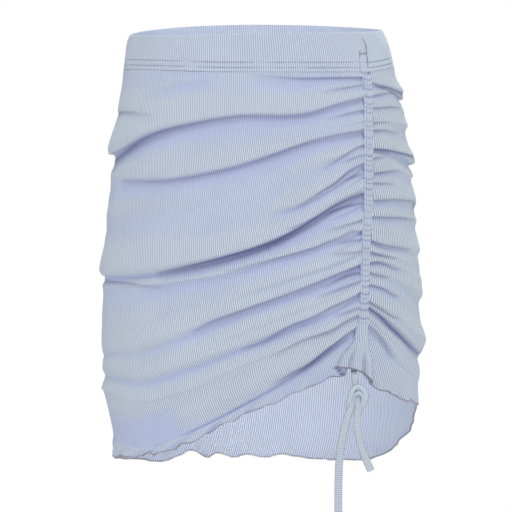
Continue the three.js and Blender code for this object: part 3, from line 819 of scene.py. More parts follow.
SIDE_FRONT_STROKES = [
    stroke(1.5, 3, (116, 53, 1.0), (124, 56, 1.4), (134, 58, 1.6), (142, 62, 1.8), (149, 69, 1.8),
           ink=1.7),
    stroke(1.2, 2.5, (116, 66, 1.0), (139, 62.5, 0.6)),
    stroke(1.2, 2.5, (116, 78, 1.2), (139, 77, 0.9)),
    stroke(1.2, 2.5, (116, 93, 1.2), (129, 92, 0.5)),
    stroke(1.2, 2.5, (116, 101, 1.2), (129, 100.5, 1.0), (139, 103, 0.6)),
    stroke(1.6, 3.5, (120, 119.5, 1.6), (139, 121, 1.8), (149, 123, 1.8), (156, 127, 1.9),
           (159, 133, 1.9), ink=1.7),
    stroke(1.2, 2.5, (117, 129, 1.0), (126, 127, 0.5)),
    stroke(1.3, 3, (117, 144, 1.4), (129, 142, 1.2), (139, 141, 0.7)),
    stroke(1.2, 2.5, (116, 153, 1.0), (134, 154, 0.6)),
    stroke(1.6, 4, (116, 170.5, 1.6), (154, 170.5, 1.6), (160, 178, 2.0)),
    stroke(1.2, 3, (116, 187, 1.2), (144, 188, 1.0), (154, 189, 0.6)),
    stroke(1.3, 3, (116, 211, 1.2), (124, 214, 1.2), (149, 219, 0.8)),
    stroke(1.2, 3, (113, 221.5, 1.2), (124, 225, 1.0), (136, 227, 0.6)),
    stroke(1.3, 3, (114, 233, 1.4), (124, 232.5, 1.3), (139, 239, 0.7)),
    stroke(1.2, 2.5, (114, 243, 1.2), (129, 247, 0.6)),
    stroke(1.3, 3, (114, 255, 1.4), (127, 259, 1.3), (139, 266, 0.7)),
    stroke(1.2, 3, (112, 271, 1.2), (136, 286, 0.8)),
    stroke(1.6, 4, (113, 278, 2.4), (124, 286, 2.6), (139, 300, 2.4), (154, 315, 2.0),
           (164, 324, 1.6), ink=1.5),
    stroke(2, 4, (112, 295, 1.4), (120, 302, 1.4), (129, 314, 1.2), (136, 326, 0.5)),
    stroke(5, 4.5, (124, 49, -0.3), (132, 52, -2.6), (138, 55, -5.4), (150, 60, -6.0)),
]
STROKE_END = 6.0  # how far past its last place a stroke dies away
LINE_ABOVE = 0.5  # the painted shade line's width above its middle, as a share of the stroke's
LINE_BELOW = 0.42  # and below it
LINE_LEAST = 0.4  # added to both, so that no line is too thin to show
LINE_TIP = 1.2  # the power of the line's lobe
LINE_POWER = 0.7  # below 1, shallow creases get much painted shade for their depth
# how deep a crease is at full painted shade, how far past that the shade still grows, and its most
DEEPEST, PAST_DEEPEST, DARKEST = 3.2, 1.2, 1.15
BROAD = 4.0  # a stroke this wide above is a hollow and has no painted shade line
FRONT["strokes"] = FRONT_STROKES
SIDE_FRONT["strokes"] = SIDE_FRONT_STROKES


def strokes_at(strokes, across, drop):
    """How far the strokes push the cloth out at places of the picture, and the painted shade of their
    creases.
    """
    height = np.zeros(np.shape(across))
    crease = np.zeros(np.shape(across))
    for s in strokes:
        xs, drops, depths = s["course"].T
        slope = (smooth(xs, drops, across + 1) - smooth(xs, drops, across - 1)) / 2
        off = (drop - smooth(xs, drops, across)) / np.sqrt(1 + slope**2)
        comes = ease(across, xs[0] - STROKE_END, xs[0])
        goes = 1 - ease(across, xs[-1], xs[-1] + STROKE_END)
        depth = smooth(xs, depths, across) * comes * goes
        height -= depth * lobe(off, s["above"], s["below"], POINTED)
        # painted shade: a thin dark line along the crease, darker for a deeper crease
        if s["above"] < BROAD:
            above, below = LINE_ABOVE * s["above"], LINE_BELOW * s["below"]
            line = lobe(off, LINE_LEAST + above, LINE_LEAST + below, LINE_TIP)
            dark = np.clip(depth / DEEPEST, 0, PAST_DEEPEST) ** LINE_POWER * s["ink"]
            crease = np.maximum(crease, np.minimum(dark, DARKEST) * line)
    return height, crease


print(len(FRONT_STROKES) + len(SIDE_FRONT_STROKES) + len(BACK_STROKES), "strokes")

# %% [markdown]
# # The front panels
# The front of the real skirt is two pieces of knit, gathered where they meet the channel. Cloth
# simulation would fold them well but in its own places, so each is a grid of rows that follow
# the drawn-up lines. Its pleats, strokes and small gathers push it out from the body, its edge
# dips into the seams, and the last few millimetres above the hem ripple, because a rolled
# overlock stretches the edge of a rib knit. A Solidify modifier then gives it its thickness.

# %% The front panels
CLOTH = 1.2
FRONT_GRID = (430, 108)
SIDE_FRONT_GRID = (430, 52)
SEAM_DIP = 1.1
CHANNEL_DIP = 0.45
UNDERLAP, UNDER_DIP = 1.7, 1.3  # the panels run on below the channel, and lie deeper there
SEAM_WIDTH = 1.6
RIPPLE, HEM_WAVE = 0.9, 1.1  # the hem's wave in and out, and up and down
RIPPLE_LENGTHS = (41.0, 23.0, 13.5)
RIPPLE_REACH = 9  # how far above the hem the wave dies away
UPRIGHT_BY_CHANNEL = 0.3
UPRIGHT_TO = 0.3  # the part of the way to the side seam over which the ribs come to lean
WAVE_START = 6  # waves start anywhere in about one turn
UNEVEN, DENTS = 0.16, 7
DENT_LENGTH, DENT_WIDTH, DENT_TILT = (90, 220), (22, 55), 0.5
HELD_REACH = 6.0  # how far the channel's seam holds the cloth between the next two heights
HELD_LOWEST, HELD_HIGHEST = -1.2, 1.1
GATHERS = 66  # small puckers down each side of the channel
GATHERS_FROM, GATHERS_TO, GATHER_SHIFT = 46, 300, 1.4
GATHER_HEIGHT, GATHER_WIDTH, GATHER_REACH = (0.25, 0.7), (1.0, 1.7), (0.04, 0.11)


def gathers(start, part, seed):
    """Small puckers that the stitching holds in the cloth beside the channel."""
    chance = np.random.default_rng(seed)
    height = np.zeros(np.broadcast(start, part).shape)
    shifts = chance.uniform(-GATHER_SHIFT, GATHER_SHIFT, GATHERS)
    for middle in np.linspace(GATHERS_FROM, GATHERS_TO, GATHERS) + shifts:
        size = chance.uniform(*GATHER_HEIGHT)
        wide = chance.uniform(*GATHER_WIDTH)
        reach = chance.uniform(*GATHER_REACH)
        height += size * bell((start - middle) / wide) * bell(part / reach)
    return height


def ripple(distance, from_hem, seed):
    """The wave of a stretched hem, which dies away above it."""
    chance = np.random.default_rng(seed)
    wave = np.zeros_like(distance)
    for length in RIPPLE_LENGTHS:
        turn = 2 * np.pi * distance / length + chance.uniform(0, WAVE_START)
        wave += np.sin(turn) * length / RIPPLE_LENGTHS[0]
    return wave * bell(from_hem / RIPPLE_REACH)


def unevenness(across, drop, seed):
    """Faint broad dents, longer across than down, as in cloth that has been handled."""
    chance = np.random.default_rng(seed)
    height = np.zeros(np.shape(across))
    for _ in range(DENTS):
        lengthwise, downward = chance.uniform(*DENT_LENGTH), chance.uniform(*DENT_WIDTH)
        tilt = chance.uniform(-DENT_TILT, DENT_TILT)
        turn = 2 * np.pi * (across / lengthwise + (drop + tilt * across) / downward)
        height += UNEVEN * np.sin(turn + chance.uniform(0, WAVE_START))
    return height


def front_grid(panel, size, seed, gather_reach, rib):
    """The outer face of a front panel, with its ribs, how far down it is, and its marks."""
    rows, columns = size
    lines, side = panel["lines"], panel["side"]
    channel_drops = column(lines, "channel")
    start = np.linspace(channel_drops[0], channel_drops[-1], rows)
    edge = np.interp(start, column(CHANNEL_EDGES, "drop"), column(CHANNEL_EDGES, panel["edge"]))
    first = angle_seen(edge - side * UNDERLAP, start)[:, None]
    angle = first + (side * SIDE - first) * np.linspace(0, 1, columns)
    part = (np.sin(angle) - np.sin(first)) / (side - np.sin(first))
    levels = lines_at(panel, part)
    k = np.clip(np.searchsorted(channel_drops, start, side="right") - 1, 0, len(lines) - 2)
    share = ((start - channel_drops[k]) / (channel_drops[k + 1] - channel_drops[k]))[:, None]
    row = np.arange(rows)
    drop = levels[k, row] * (1 - share) + levels[k + 1, row] * share
    z = true_height(drop, angle)
    plain = body_at(angle, z)[0]
    across, seen = place_seen(plain)
    start = start[:, None]
    height = relief(panel["pleats"], start, part) + gathers(start, part / gather_reach, seed)
    pushed, crease = strokes_at(panel["strokes"], across, seen)
    height += pushed + unevenness(across, seen, seed + 2)
    reach = run_across(plain)
    from_hem = run_down(plain)[-1] - run_down(plain)
    height += RIPPLE * ripple(reach, from_hem, seed)
    height -= SEAM_DIP * bell((reach[:, -1:] - reach) / SEAM_WIDTH)
    held = bell(reach / HELD_REACH)
    height = height * (1 - held) + np.clip(height, HELD_LOWEST, HELD_HIGHEST) * held
    height -= UNDER_DIP * bell(reach / SEAM_WIDTH)
    points = stand_out(angle, z, height)
    points[..., 2] += HEM_WAVE * ripple(reach, from_hem, seed + 1)
    lean = UPRIGHT_BY_CHANNEL + (1 - UPRIGHT_BY_CHANNEL) * ease(part, 0, UPRIGHT_TO)
    ribs = number_ribs(plain, lean) * RIB / rib
    way = -side
    marks = {"lift": height[:, ::way], "crease": crease[:, ::way]}
    return points[:, ::way], ribs[:, ::way], run_down(plain)[:, ::way], marks


def thicken(made, thick=CLOTH, lined=0):
    """Gives a sheet its thickness, inwards; lined is 1 where the inner face has its own look."""
    wall = made.modifiers.new("thickness", "SOLIDIFY")
    wall.thickness = thick * MM
    wall.offset = -1
    wall.material_offset = lined
    return made


front_points, *front_knit = front_grid(FRONT, FRONT_GRID, seed=3, gather_reach=1.0, rib=RIB)
front = thicken(cloth_mesh("front", front_points, *front_knit), lined=1)
side_points, *side_knit = front_grid(
    SIDE_FRONT, SIDE_FRONT_GRID, seed=5, gather_reach=3.4, rib=SIDE_RIB
)
side_front = thicken(cloth_mesh("side_front", side_points, *side_knit), lined=1)
print("front", triangles(front), "triangles, side front", triangles(side_front))

# %% [markdown]
# # The back panel
# The back is one piece of knit. It isn't drawn up, but the big pleats run on past the side
# seams and die away, and broad soft folds cross it between them. Its hem is longer than the
# front's and ripples. It could be a plain tube with a noise on it. It is made as the front is,
# because the two are seen side by side at the seams.

# %% The back panel
BACK_FOLDS = table(
    "left_drop right_drop height wide middle span",
    [118, 92, 1.6, 16, 205, 60],
    [186, 150, 1.8, 18, 165, 55],
    [262, 205, 2.4, 20, 160, 60],
    [330, 262, 2.4, 20, 170, 65],
    [388, 318, 2.0, 18, 200, 60],
)
BACK_HEM = table(
    "angle drop",
    [90, 376],
    [98, 395],
    [107, 409],
    [117, 422],
    [126, 428],
    [135, 429.5],
    [146, 429],
    [158, 428],
    [170, 424],
    [177, 427],
    [185, 424],
    [190, 427],
    [197, 422],
    [201, 427],
    [208, 420],
    [214, 425],
    [223, 431],
    [234, 429],
    [250, 428],
    [270, 427],
)
BACK_GRID = (190, 250)
BAND_FOOT_BACK = -27.0
BACK_FOLD_BELOW = 0.7  # how wide a fold is below its crest, for its width above
BACK_DENT_SEED, BACK_HEM_SEED = 31, 11


def relief_past(panel, turn, z):
    """Relief that goes on past a panel's side seam, at a turn beyond it."""
    channel_drops = column(panel["lines"], "channel")
    start = np.interp(-z, column(panel["lines"], "side"), channel_drops)
    return relief(panel["pleats"], start, 1.0) * (1 - ease(turn / BACK_TURN, 0, 1))


def back_relief(angle, z):
    """How far the back stands out from the body."""
    towards_right = ease(angle, SIDE, 3 * SIDE)
    height = relief_past(SIDE_FRONT, angle - SIDE, z) + relief_past(FRONT, 3 * SIDE - angle, z)
    for fold in BACK_FOLDS:
        drop = fold["left_drop"] + (fold["right_drop"] - fold["left_drop"]) * towards_right
        fades = bell((angle - math.radians(fold["middle"])) / math.radians(fold["span"]))
        section = lobe((-z - drop) / fold["wide"], 1, BACK_FOLD_BELOW)
        height += fold["height"] * -np.cos(angle) * fades * section
    return height


def band_foot(angle):
    """The height of the waistband's lower edge at an angle."""
    turned = np.arctan2(np.sin(angle), np.cos(angle))
    left_side, right_side = SIDE_FRONT_LINES[0]["side"], FRONT_LINES[0]["side"]
    at_side = -np.where(turned > 0, left_side, right_side)
    behind = at_side + (BAND_FOOT_BACK - at_side) * -np.cos(turned)
    ahead = np.zeros_like(turned)
    top = FRONT_LINES[0]["channel"]
    edges = {name: angle_seen(CHANNEL_EDGES[0][name], top) for name in ("left", "right")}
    for panel, chosen in ((FRONT, turned <= edges["right"]), (SIDE_FRONT, turned > edges["right"])):
        first = math.sin(edges[panel["edge"]])
        part = np.clip((np.sin(turned) - first) / (panel["side"] - first), 0, 1)
        level = smooth(panel["places"], list(panel["lines"][0].values()), part)
        ahead = np.where(chosen, true_height(level, turned), ahead)
    return np.where(np.cos(turned) < 0, behind, ahead)


def back_grid(size):
    """The outer face of the back panel, with its ribs, how far down it is, and its marks."""
    rows, columns = size
    angle = np.linspace(3 * SIDE, SIDE, columns)[None, :]
    hem_drop = smooth(np.radians(column(BACK_HEM, "angle")), column(BACK_HEM, "drop"), angle)
    hem = true_height(hem_drop, angle)
    foot = band_foot(angle)
    z = foot + (hem - foot) * np.linspace(0, 1, rows)[:, None]
    plain = body_at(angle, z)[0]
    reach = run_across(plain)
    pushed, crease = strokes_at(BACK_STROKES, reach, -z)
    down = run_down(plain)
    height = back_relief(angle + 0 * z, z) + pushed + unevenness(reach, -z, BACK_DENT_SEED)
    height += RIPPLE * ripple(reach, down[-1] - down, BACK_HEM_SEED)
    height -= SEAM_DIP * bell(reach / SEAM_WIDTH)
    height -= SEAM_DIP * bell((reach[:, -1:] - reach) / SEAM_WIDTH)
    ribs = reach / RIB + 0 * z
    marks = {"lift": height, "crease": crease}
    return stand_out(angle + 0 * z, z, height), ribs, down, marks


back_points, *back_knit = back_grid(BACK_GRID)
back = thicken(cloth_mesh("back", back_points, *back_knit), lined=1)
print("back", triangles(back), "triangles")

# %% [markdown]
# # The waistband
# The waistband is the knit turned over on itself and held down by two rows of twin-needle
# stitching near its lower edge. A curve with a bevel could make it, but its lower edge slants
# and dips with the panels, so it is a grid like theirs. Its section is a narrow arch: up the
# outside, over the fold and down the inside. The stitching pulls two fine grooves into it.

# %% The waistband
BAND_ROUND, OUTER_ROWS, INNER_ROWS, FOLD_STEPS = 336, 96, 24, 9  # points round and along it
BAND_RIBS = 380
BAND_THICK = 2.6
BAND_WALL = 0.45  # one layer's thickness, as a share of the band's
FOLD_SHARE, FACE_SHARE, FOOT_SHARE = 0.035, 0.075, 0.995  # where the fold ends, and the faces
WAIST_MIDDLE, WAIST_TILT, WAIST_LEAN, WAIST_BOW = -2, 10, 2.2, 3
LEAN_FADE = 0.9  # how much of the lean to one side is gone at the back
SWAYS = table("size turns down", [0.25, 9, 11], [0.2, 23, 6])
SWAY_FROM = 0.2
STITCH_ROWS = (9.4, 4.2)  # how far above the band's foot each row of stitching runs
GROOVE = 0.55
GROOVE_WIDTH = 0.75


def waist_top(angle):
    """The height of the waist's top edge at an angle."""
    back = -np.cos(angle)
    lean = WAIST_LEAN * np.sin(angle) * (1 - LEAN_FADE * np.maximum(back, 0))
    return WAIST_MIDDLE + WAIST_TILT * back + lean + WAIST_BOW * back * back


def band_face(angle, t, inset):
    """A face of the band, from t 0 at its top to 1 at its foot, at an inset from its outside."""
    top, foot = waist_top(angle), band_foot(angle)
    z = top + (foot - top) * t
    point, out = body_at(angle, z)[:2]
    above = z - foot
    groove = sum(bell((above - row) / GROOVE_WIDTH) for row in STITCH_ROWS)
    sway = sum(s["size"] * np.sin(angle * s["turns"] + above / s["down"]) for s in SWAYS)
    height = sway * ease(t, 0, SWAY_FROM) - inset
    if inset == 0:
        height = height - GROOVE * groove
    return point + out * height[..., None]


def band_grid():
    """The folded band: from the foot up the outside, over the fold and down the inside."""
    angle = np.linspace(0, 2 * math.pi, BAND_ROUND, endpoint=False)[None, :]
    outside = np.linspace(FOOT_SHARE, FACE_SHARE, OUTER_ROWS)
    outer = [band_face(angle, t, 0) for t in [*outside, FOLD_SHARE]]
    inside = np.linspace(FOLD_SHARE, FOOT_SHARE, INNER_ROWS)
    inner = [band_face(angle, t, BAND_THICK) for t in inside]
    fold = []
    for turn in np.linspace(0, math.pi, FOLD_STEPS)[1:-1]:
        inset = BAND_THICK * (1 - math.cos(turn)) / 2
        fold.append(band_face(angle, FOLD_SHARE * (1 - math.sin(turn)), inset))
    points = np.concatenate(outer + fold + inner, axis=0)
    ribs = np.broadcast_to(angle / (2 * math.pi) * BAND_RIBS, points.shape[:2])
    return points, ribs, run_down(points)


band_points, band_ribs, band_down = band_grid()
band = cloth_mesh("band", band_points, band_ribs, band_down, closed_round=True)
thicken(band, BAND_THICK * BAND_WALL)
print("band", triangles(band), "triangles")

# %% [markdown]
# # The ruched channel
# Down the wearer's left a strip of cloth is stitched on as a tunnel for the drawstring. Drawn
# up to little more than half its length, it puffs out between close cross wrinkles, each pulled
# into a small arch. Towards its foot it isn't gathered, and opens into a flared mouth. A bump
# in the material could stand for the wrinkles, but they show at its edges, so they are in the
# mesh. It is a flat tube, and its section is a loop: across the front and back behind.

# %% The ruched channel
CHANNEL_GRID = (430, 64)
CHANNEL_TOP, CHANNEL_END = 44.0, 347.0
FOOT_DROP = 296.0
UNGATHERED = (286, 300)  # the drops over which the gathers die away
CHANNEL_WALL = 0.7
CHANNEL_RIB, FIRST_RIB = 1.8, 90
PUFF, LEAST_PUFF = 1.7, 0.5
BULGE_SIDE, BULGE_FACE = 2.3, 0.65  # powers of the tube's rounded section
PINCH, PINCH_POWER = 0.75, 0.6
BEHIND, FOOT_BEHIND = 1.6, 1.2  # how far back the tube goes, and how much more at its foot
WRINKLE_PITCH, WRINKLE_SHIFT, PAST_END = 5.8, 2.1, 20
ARCH = 2.2
WRINKLE_SEED, LINE_SEED = 21, 8
# The wrinkles' dark lines and the tube's dark edges are painted shade, like the shade between the
# foot's folds.
FINE_LINE = 2.5  # the power that keeps a wrinkle's line of painted shade fine
LINE_STRENGTH = (0.2, 1)
EDGE_FROM, EDGE_LEAST, EDGE_SHADE, EDGE_END = 0.8, 0.3, 0.95, (318, 330)
BETWEEN_SHADE, BETWEEN_SPAN = 0.5, (316, 330)  # the painted shade between the foot's folds
MARKED_FROM = -0.4  # the marks go a little way round to the back
TINT, LEVEL_FACE = 2, 1.6  # the painted bounce light of the hollows grows this fast below a face this far out
FOOT_HEM = table(
    "place low",
    [-1, -10],
    [-0.31, -9],
    [0.02, -7.5],
    [0.28, -5.5],
    [0.54, -4],
    [0.67, -1],
    [1, 6],
)
FLARE = table(
    "drop spread",
    [311, 0],
    [318, 4.5],
    [324, 8],
    [330, 9.5],
    [338, 9.5],
)
FOLD_POWER, BETWEEN_POWER = 3, 4
FOOT_FOLDS = table(
    "place half height begin full",
    [-0.70, 0.27, 3.4, 312, 322],
    [0.05, 0.34, 2.4, 298, 312],
    [0.76, 0.19, 2.8, 322, 334],
)


def wrinkles():
    """How far down each cross wrinkle of the channel is, unevenly spaced."""
    chance = np.random.default_rng(WRINKLE_SEED)
    ends = np.arange(CHANNEL_TOP, CHANNEL_END + PAST_END, WRINKLE_PITCH)
    return ends + chance.uniform(-WRINKLE_SHIFT, WRINKLE_SHIFT, len(ends))


def channel_grid():
    """The outer face of the channel's flat tube, with its knit and marks."""
    rows, around = CHANNEL_GRID
    drop = np.linspace(CHANNEL_TOP, CHANNEL_END, rows)[:, None]
    turn = np.linspace(0, 2 * np.pi, around, endpoint=False)[None, :]
    w = squarer(np.cos(turn), SIDE_POWER)
    foot = ease(drop, FOOT_DROP, CHANNEL_END)
    at = drop + smooth(column(FOOT_HEM, "place"), column(FOOT_HEM, "low"), w) * foot**2
    right = np.interp(at, column(CHANNEL_EDGES, "drop"), column(CHANNEL_EDGES, "right"))
    left = np.interp(at, column(CHANNEL_EDGES, "drop"), column(CHANNEL_EDGES, "left"))
    left = left - along(FLARE, "drop", "spread", at)
    across = left + (right - left) * (w + 1) / 2
    ends = wrinkles()
    numbers = np.arange(len(ends))
    phase = np.interp(drop + ARCH * w * w, ends, numbers)
    gathered = 1 - ease(drop, *UNGATHERED)
    puffed = np.abs(np.sin(np.pi * phase))
    pinch = 1 - puffed**PINCH_POWER
    line = (1 - puffed) ** FINE_LINE
    bulge = np.clip(1 - np.abs(w) ** BULGE_SIDE, 0, 1) ** BULGE_FACE
    front = bulge * (LEAST_PUFF + PUFF * (1 - PINCH * pinch * gathered))
    for fold in FOOT_FOLDS:
        grows = ease(at, fold["begin"], fold["full"])
        section = lobe((w - fold["place"]) / fold["half"], 1, 1, FOLD_POWER)
        front = front + fold["height"] * grows * section
    faces_out = np.sin(turn) > 0
    back_face = -bulge * (BEHIND + FOOT_BEHIND * foot)
    height = np.where(faces_out, front, back_face) - CHANNEL_DIP
    angle = angle_seen(across, at)
    z = true_height(at, angle)
    point, out = body_at(angle, z)[:2]
    points = point + out * height[..., None]
    # Painted shade: dark lines in the wrinkles, along the tube's edges and between the foot's folds.
    between = np.ones_like(w)
    for fold in FOOT_FOLDS:
        between = between - lobe((w - fold["place"]) / fold["half"], 1, 1, BETWEEN_POWER)
    strengths = np.random.default_rng(LINE_SEED).uniform(*LINE_STRENGTH, len(ends))
    strength = np.interp(phase, numbers, strengths)
    edge = ease(np.abs(w), EDGE_FROM, 1) * (EDGE_LEAST + (1 - EDGE_LEAST) * line)
    edge = edge * (1 - ease(at, *EDGE_END))
    crease = np.maximum(strength * line * gathered, EDGE_SHADE * edge)
    folded = BETWEEN_SHADE * np.clip(between, 0, 1) * ease(at, *BETWEEN_SPAN)
    crease = np.maximum(crease, folded) * (np.sin(turn) > MARKED_FROM)
    # the material turns this into painted bounce light in the hollows
    lift = TINT * (front - LEVEL_FACE)
    marks = {"lift": lift[:, ::-1], "crease": crease[:, ::-1]}
    ribs = (across - FIRST_RIB) / CHANNEL_RIB + 0 * at
    return points[:, ::-1], ribs[:, ::-1], run_down(points)[:, ::-1], marks


channel_points, *channel_knit = channel_grid()
channel = cloth_mesh("drawn_channel", channel_points, *channel_knit, closed_round=True)
thicken(channel, CHANNEL_WALL)
print("channel", triangles(channel), "triangles")

# %% [markdown]
# # The knit's material
# Rib knit is columns of raised stitches with grooves between them. Seen from a distance it is
# fine pale stripes, lilac where the light doesn't reach the groove. Modelled stitches would
# take millions of faces, and a photograph of knit would repeat. One node group turns the UV
# map into the rib's height and a little fuzz, and each cloth then uses it at its own scale.
# The height goes to a bump, and the same number mixes the rib's colour with the groove's painted shade.


# %% The knit's node group
def fill(node, inputs):
    """Gives a node's inputs their values."""
    for name, value in inputs.items():
        node.inputs[name].default_value = value


def add_node(tree, kind, inputs=None, **settings):
    """A node of a kind with its settings and the values of its inputs."""
    made = tree.nodes.new(kind)
    for name, value in settings.items():
        setattr(made, name, value)
    fill(made, inputs or {})
    return made


def maths(tree, operation, *values):
    """A Math node of up to three values, each a number or another node's output."""
    made = add_node(tree, "ShaderNodeMath", operation=operation)
    for socket, value in zip(made.inputs, values):
        if isinstance(value, (int, float)):
            socket.default_value = value
        else:
            tree.links.new(value, socket)
    return made.outputs[0]


RIB_POWER = 0.8
STITCH_RELIEF = 0.12  # how much the stitches of a rib stand out for the rib itself


def knit_group():
    """The group: in goes the place on the cloth, out come the rib's height and the fuzz."""
    group = bpy.data.node_groups.new("rib knit", "ShaderNodeTree")
    face = group.interface
    face.new_socket("Place", in_out="INPUT", socket_type="NodeSocketVector")
    for name, value in (("Stitch length", 1.3), ("Fuzz scale", 900.0)):
        socket = face.new_socket(name, in_out="INPUT", socket_type="NodeSocketFloat")
        socket.default_value = value
    for name in ("Rib", "Height", "Fuzz", "Cloud"):
        face.new_socket(name, in_out="OUTPUT", socket_type="NodeSocketFloat")
    enter = add_node(group, "NodeGroupInput")
    leave = add_node(group, "NodeGroupOutput")
    parts = add_node(group, "ShaderNodeSeparateXYZ")
    group.links.new(enter.outputs["Place"], parts.inputs[0])
    wave = maths(group, "SINE", maths(group, "MULTIPLY", parts.outputs["X"], math.pi))
    rib = maths(group, "POWER", maths(group, "ABSOLUTE", wave), RIB_POWER)
    course = maths(group, "DIVIDE", parts.outputs["Y"], enter.outputs["Stitch length"])
    stitch = maths(group, "SINE", maths(group, "MULTIPLY", course, 2 * math.pi))
    stitches = maths(group, "MULTIPLY", maths(group, "MULTIPLY", stitch, rib), STITCH_RELIEF)
    place = add_node(group, "ShaderNodeTexCoord")
    fuzz = add_node(group, "ShaderNodeTexNoise", inputs={"Detail": 2.0, "Roughness": 0.6})
    group.links.new(place.outputs["Object"], fuzz.inputs["Vector"])
    group.links.new(enter.outputs["Fuzz scale"], fuzz.inputs["Scale"])
    cloud = add_node(group, "ShaderNodeTexNoise", inputs={"Scale": 22.0, "Detail": 3.0})
    group.links.new(place.outputs["Object"], cloud.inputs["Vector"])
    group.links.new(rib, leave.inputs["Rib"])
    group.links.new(maths(group, "ADD", rib, stitches), leave.inputs["Height"])
    group.links.new(fuzz.outputs[0], leave.inputs["Fuzz"])
    group.links.new(cloud.outputs[0], leave.inputs["Cloud"])
    return group


KNIT = knit_group()
given = [s.name for s in KNIT.interface.items_tree if s.in_out == "OUTPUT"]
print("the knit group gives", given)

# %% [markdown]
# # The cloths' colours
# The knit is a pale lilac blue. The raised ribs are creamier, and the grooves take a darker,
# more lilac painted shade. Hollows of the folds look more lilac still, because light has bounced
# there from cloth to cloth. More light bounces would give some of that, and the marks on the
# mesh paint all of it in, as painted bounce light. The crease mark paints shade along the creases.
# One recipe makes the material of every piece of cloth, each with its own values.

# %% The cloths' colours
RIB_COLOUR = (0.65, 0.71, 0.82, 1)
# the grooves' darker colour is painted shade
GROOVE_SHADE_COLOUR = (0.245, 0.27, 0.37, 1)
# painted bounce light in the hollows of the folds
BOUNCE_LIGHT_COLOUR = (0.44, 0.48, 0.78, 1)
# painted shade along the creases: its colour, and how strongly the crease mark mixes it in
CREASE_SHADOW_COLOUR = (0.13, 0.125, 0.30, 1)
CREASE_SHADE = 0.85
NAP = {
    "Roughness": 0.92,
    "Specular IOR Level": 0.2,
    "Sheen Weight": 0.25,
    "Sheen Roughness": 0.5,
    "Sheen Tint": (0.85, 0.95, 0.92, 1),
}
LIFTED, SUNK = 1.4, -1.6  # between these heights the cloth takes on more and more painted bounce light
SPECKS, LEAST_SPECKS = 0.16, 0.92
CLOUDS, LEAST_CLOUDS = 0.10, 0.95
MIX_SHARE, MIX_FIRST, MIX_SECOND, MIX_RESULT = 0, 6, 7, 2  # the Mix node's colour sockets


def new_material(name):
    """A material with nodes, its tree and its main shader."""
    material = bpy.data.materials.new(name)
    material.use_nodes = True
    tree = material.node_tree
    return material, tree, tree.nodes["Principled BSDF"]


def mix_colour(tree, share, first, second, blend="MIX"):
    """A Mix node for colours; each input is a value or another node's output."""
    made = add_node(tree, "ShaderNodeMix", data_type="RGBA", blend_type=blend)
    for index, value in ((MIX_SHARE, share), (MIX_FIRST, first), (MIX_SECOND, second)):
        if isinstance(value, (int, float, tuple)):
            made.inputs[index].default_value = value
        else:
            tree.links.new(value, made.inputs[index])
    return made.outputs[MIX_RESULT]


def knit_material(name, rib_colour=RIB_COLOUR, groove_shade_colour=GROOVE_SHADE_COLOUR, bump=0.55, bounce_light=0.5):
    """A cloth material: ribs in colour and bump, painted shade in grooves and creases, painted bounce
    light in hollows, a soft nap.
    """
    material, tree, shader = new_material(name)
    fill(shader, NAP)
    uv = add_node(tree, "ShaderNodeUVMap", uv_map="knit")
    knit = add_node(tree, "ShaderNodeGroup", node_tree=KNIT)
    tree.links.new(uv.outputs[0], knit.inputs["Place"])
    # painted shade in the grooves between the ribs
    ribbed = mix_colour(tree, knit.outputs["Rib"], groove_shade_colour, rib_colour)
    # painted bounce light: the lower the cloth lies, the more lilac it turns
    lift = add_node(tree, "ShaderNodeAttribute", attribute_name="lift")
    steps = {"From Min": LIFTED, "From Max": SUNK, "To Min": 0.0, "To Max": bounce_light}
    bounce_share = add_node(tree, "ShaderNodeMapRange", steps, interpolation_type="SMOOTHSTEP")
    tree.links.new(lift.outputs["Fac"], bounce_share.inputs[0])
    tinted = mix_colour(tree, bounce_share.outputs[0], ribbed, BOUNCE_LIGHT_COLOUR)
    # painted shade along the creases
    marked = add_node(tree, "ShaderNodeAttribute", attribute_name="crease")
    dark = maths(tree, "MULTIPLY", marked.outputs["Fac"], CREASE_SHADE)
    darkened = mix_colour(tree, dark, tinted, CREASE_SHADOW_COLOUR)
    specks = maths(tree, "MULTIPLY_ADD", knit.outputs["Fuzz"], SPECKS, LEAST_SPECKS)
    clouded = maths(tree, "MULTIPLY_ADD", knit.outputs["Cloud"], CLOUDS, LEAST_CLOUDS)
    shade = maths(tree, "MULTIPLY", specks, clouded)
    final = mix_colour(tree, 1.0, darkened, shade, "MULTIPLY")
    tree.links.new(final, shader.inputs["Base Color"])
    relief_map = add_node(tree, "ShaderNodeBump", inputs={"Strength": bump, "Distance": 0.0006})
    tree.links.new(knit.outputs["Height"], relief_map.inputs["Height"])
    tree.links.new(relief_map.outputs[0], shader.inputs["Normal"])
    return material


# Each cloth has its own groove colour, which is painted shade, and its own share of painted bounce
# light.
rib_knit = knit_material("rib knit")
inside_knit = knit_material("inside knit", groove_shade_colour=(0.15, 0.16, 0.22, 1), bounce_light=0.12)
side_knit = knit_material("side knit", groove_shade_colour=(0.14, 0.155, 0.24, 1), bump=0.8, bounce_light=0.35)
band_knit = knit_material("band knit", bump=0.5, bounce_light=0.25)
channel_knit = knit_material(
    "channel knit", (0.60, 0.66, 0.77, 1), (0.27, 0.30, 0.41, 1), bump=0.5, bounce_light=0.3
)
cord_knit = knit_material("cord knit", (0.62, 0.68, 0.74, 1), (0.36, 0.39, 0.50, 1), bounce_light=0.0)
knot_knit = knit_material("knot knit", (0.60, 0.67, 0.74, 1), (0.50, 0.55, 0.66, 1), bounce_light=0.0)
for made, material in (
    (front, rib_knit),
    (side_front, side_knit),
    (back, rib_knit),
    (band, band_knit),
    (channel, channel_knit),
    (string, cord_knit),
    (short_end, cord_knit),
    (knot, knot_knit),
):
    made.data.materials.clear()
    made.data.materials.append(material)
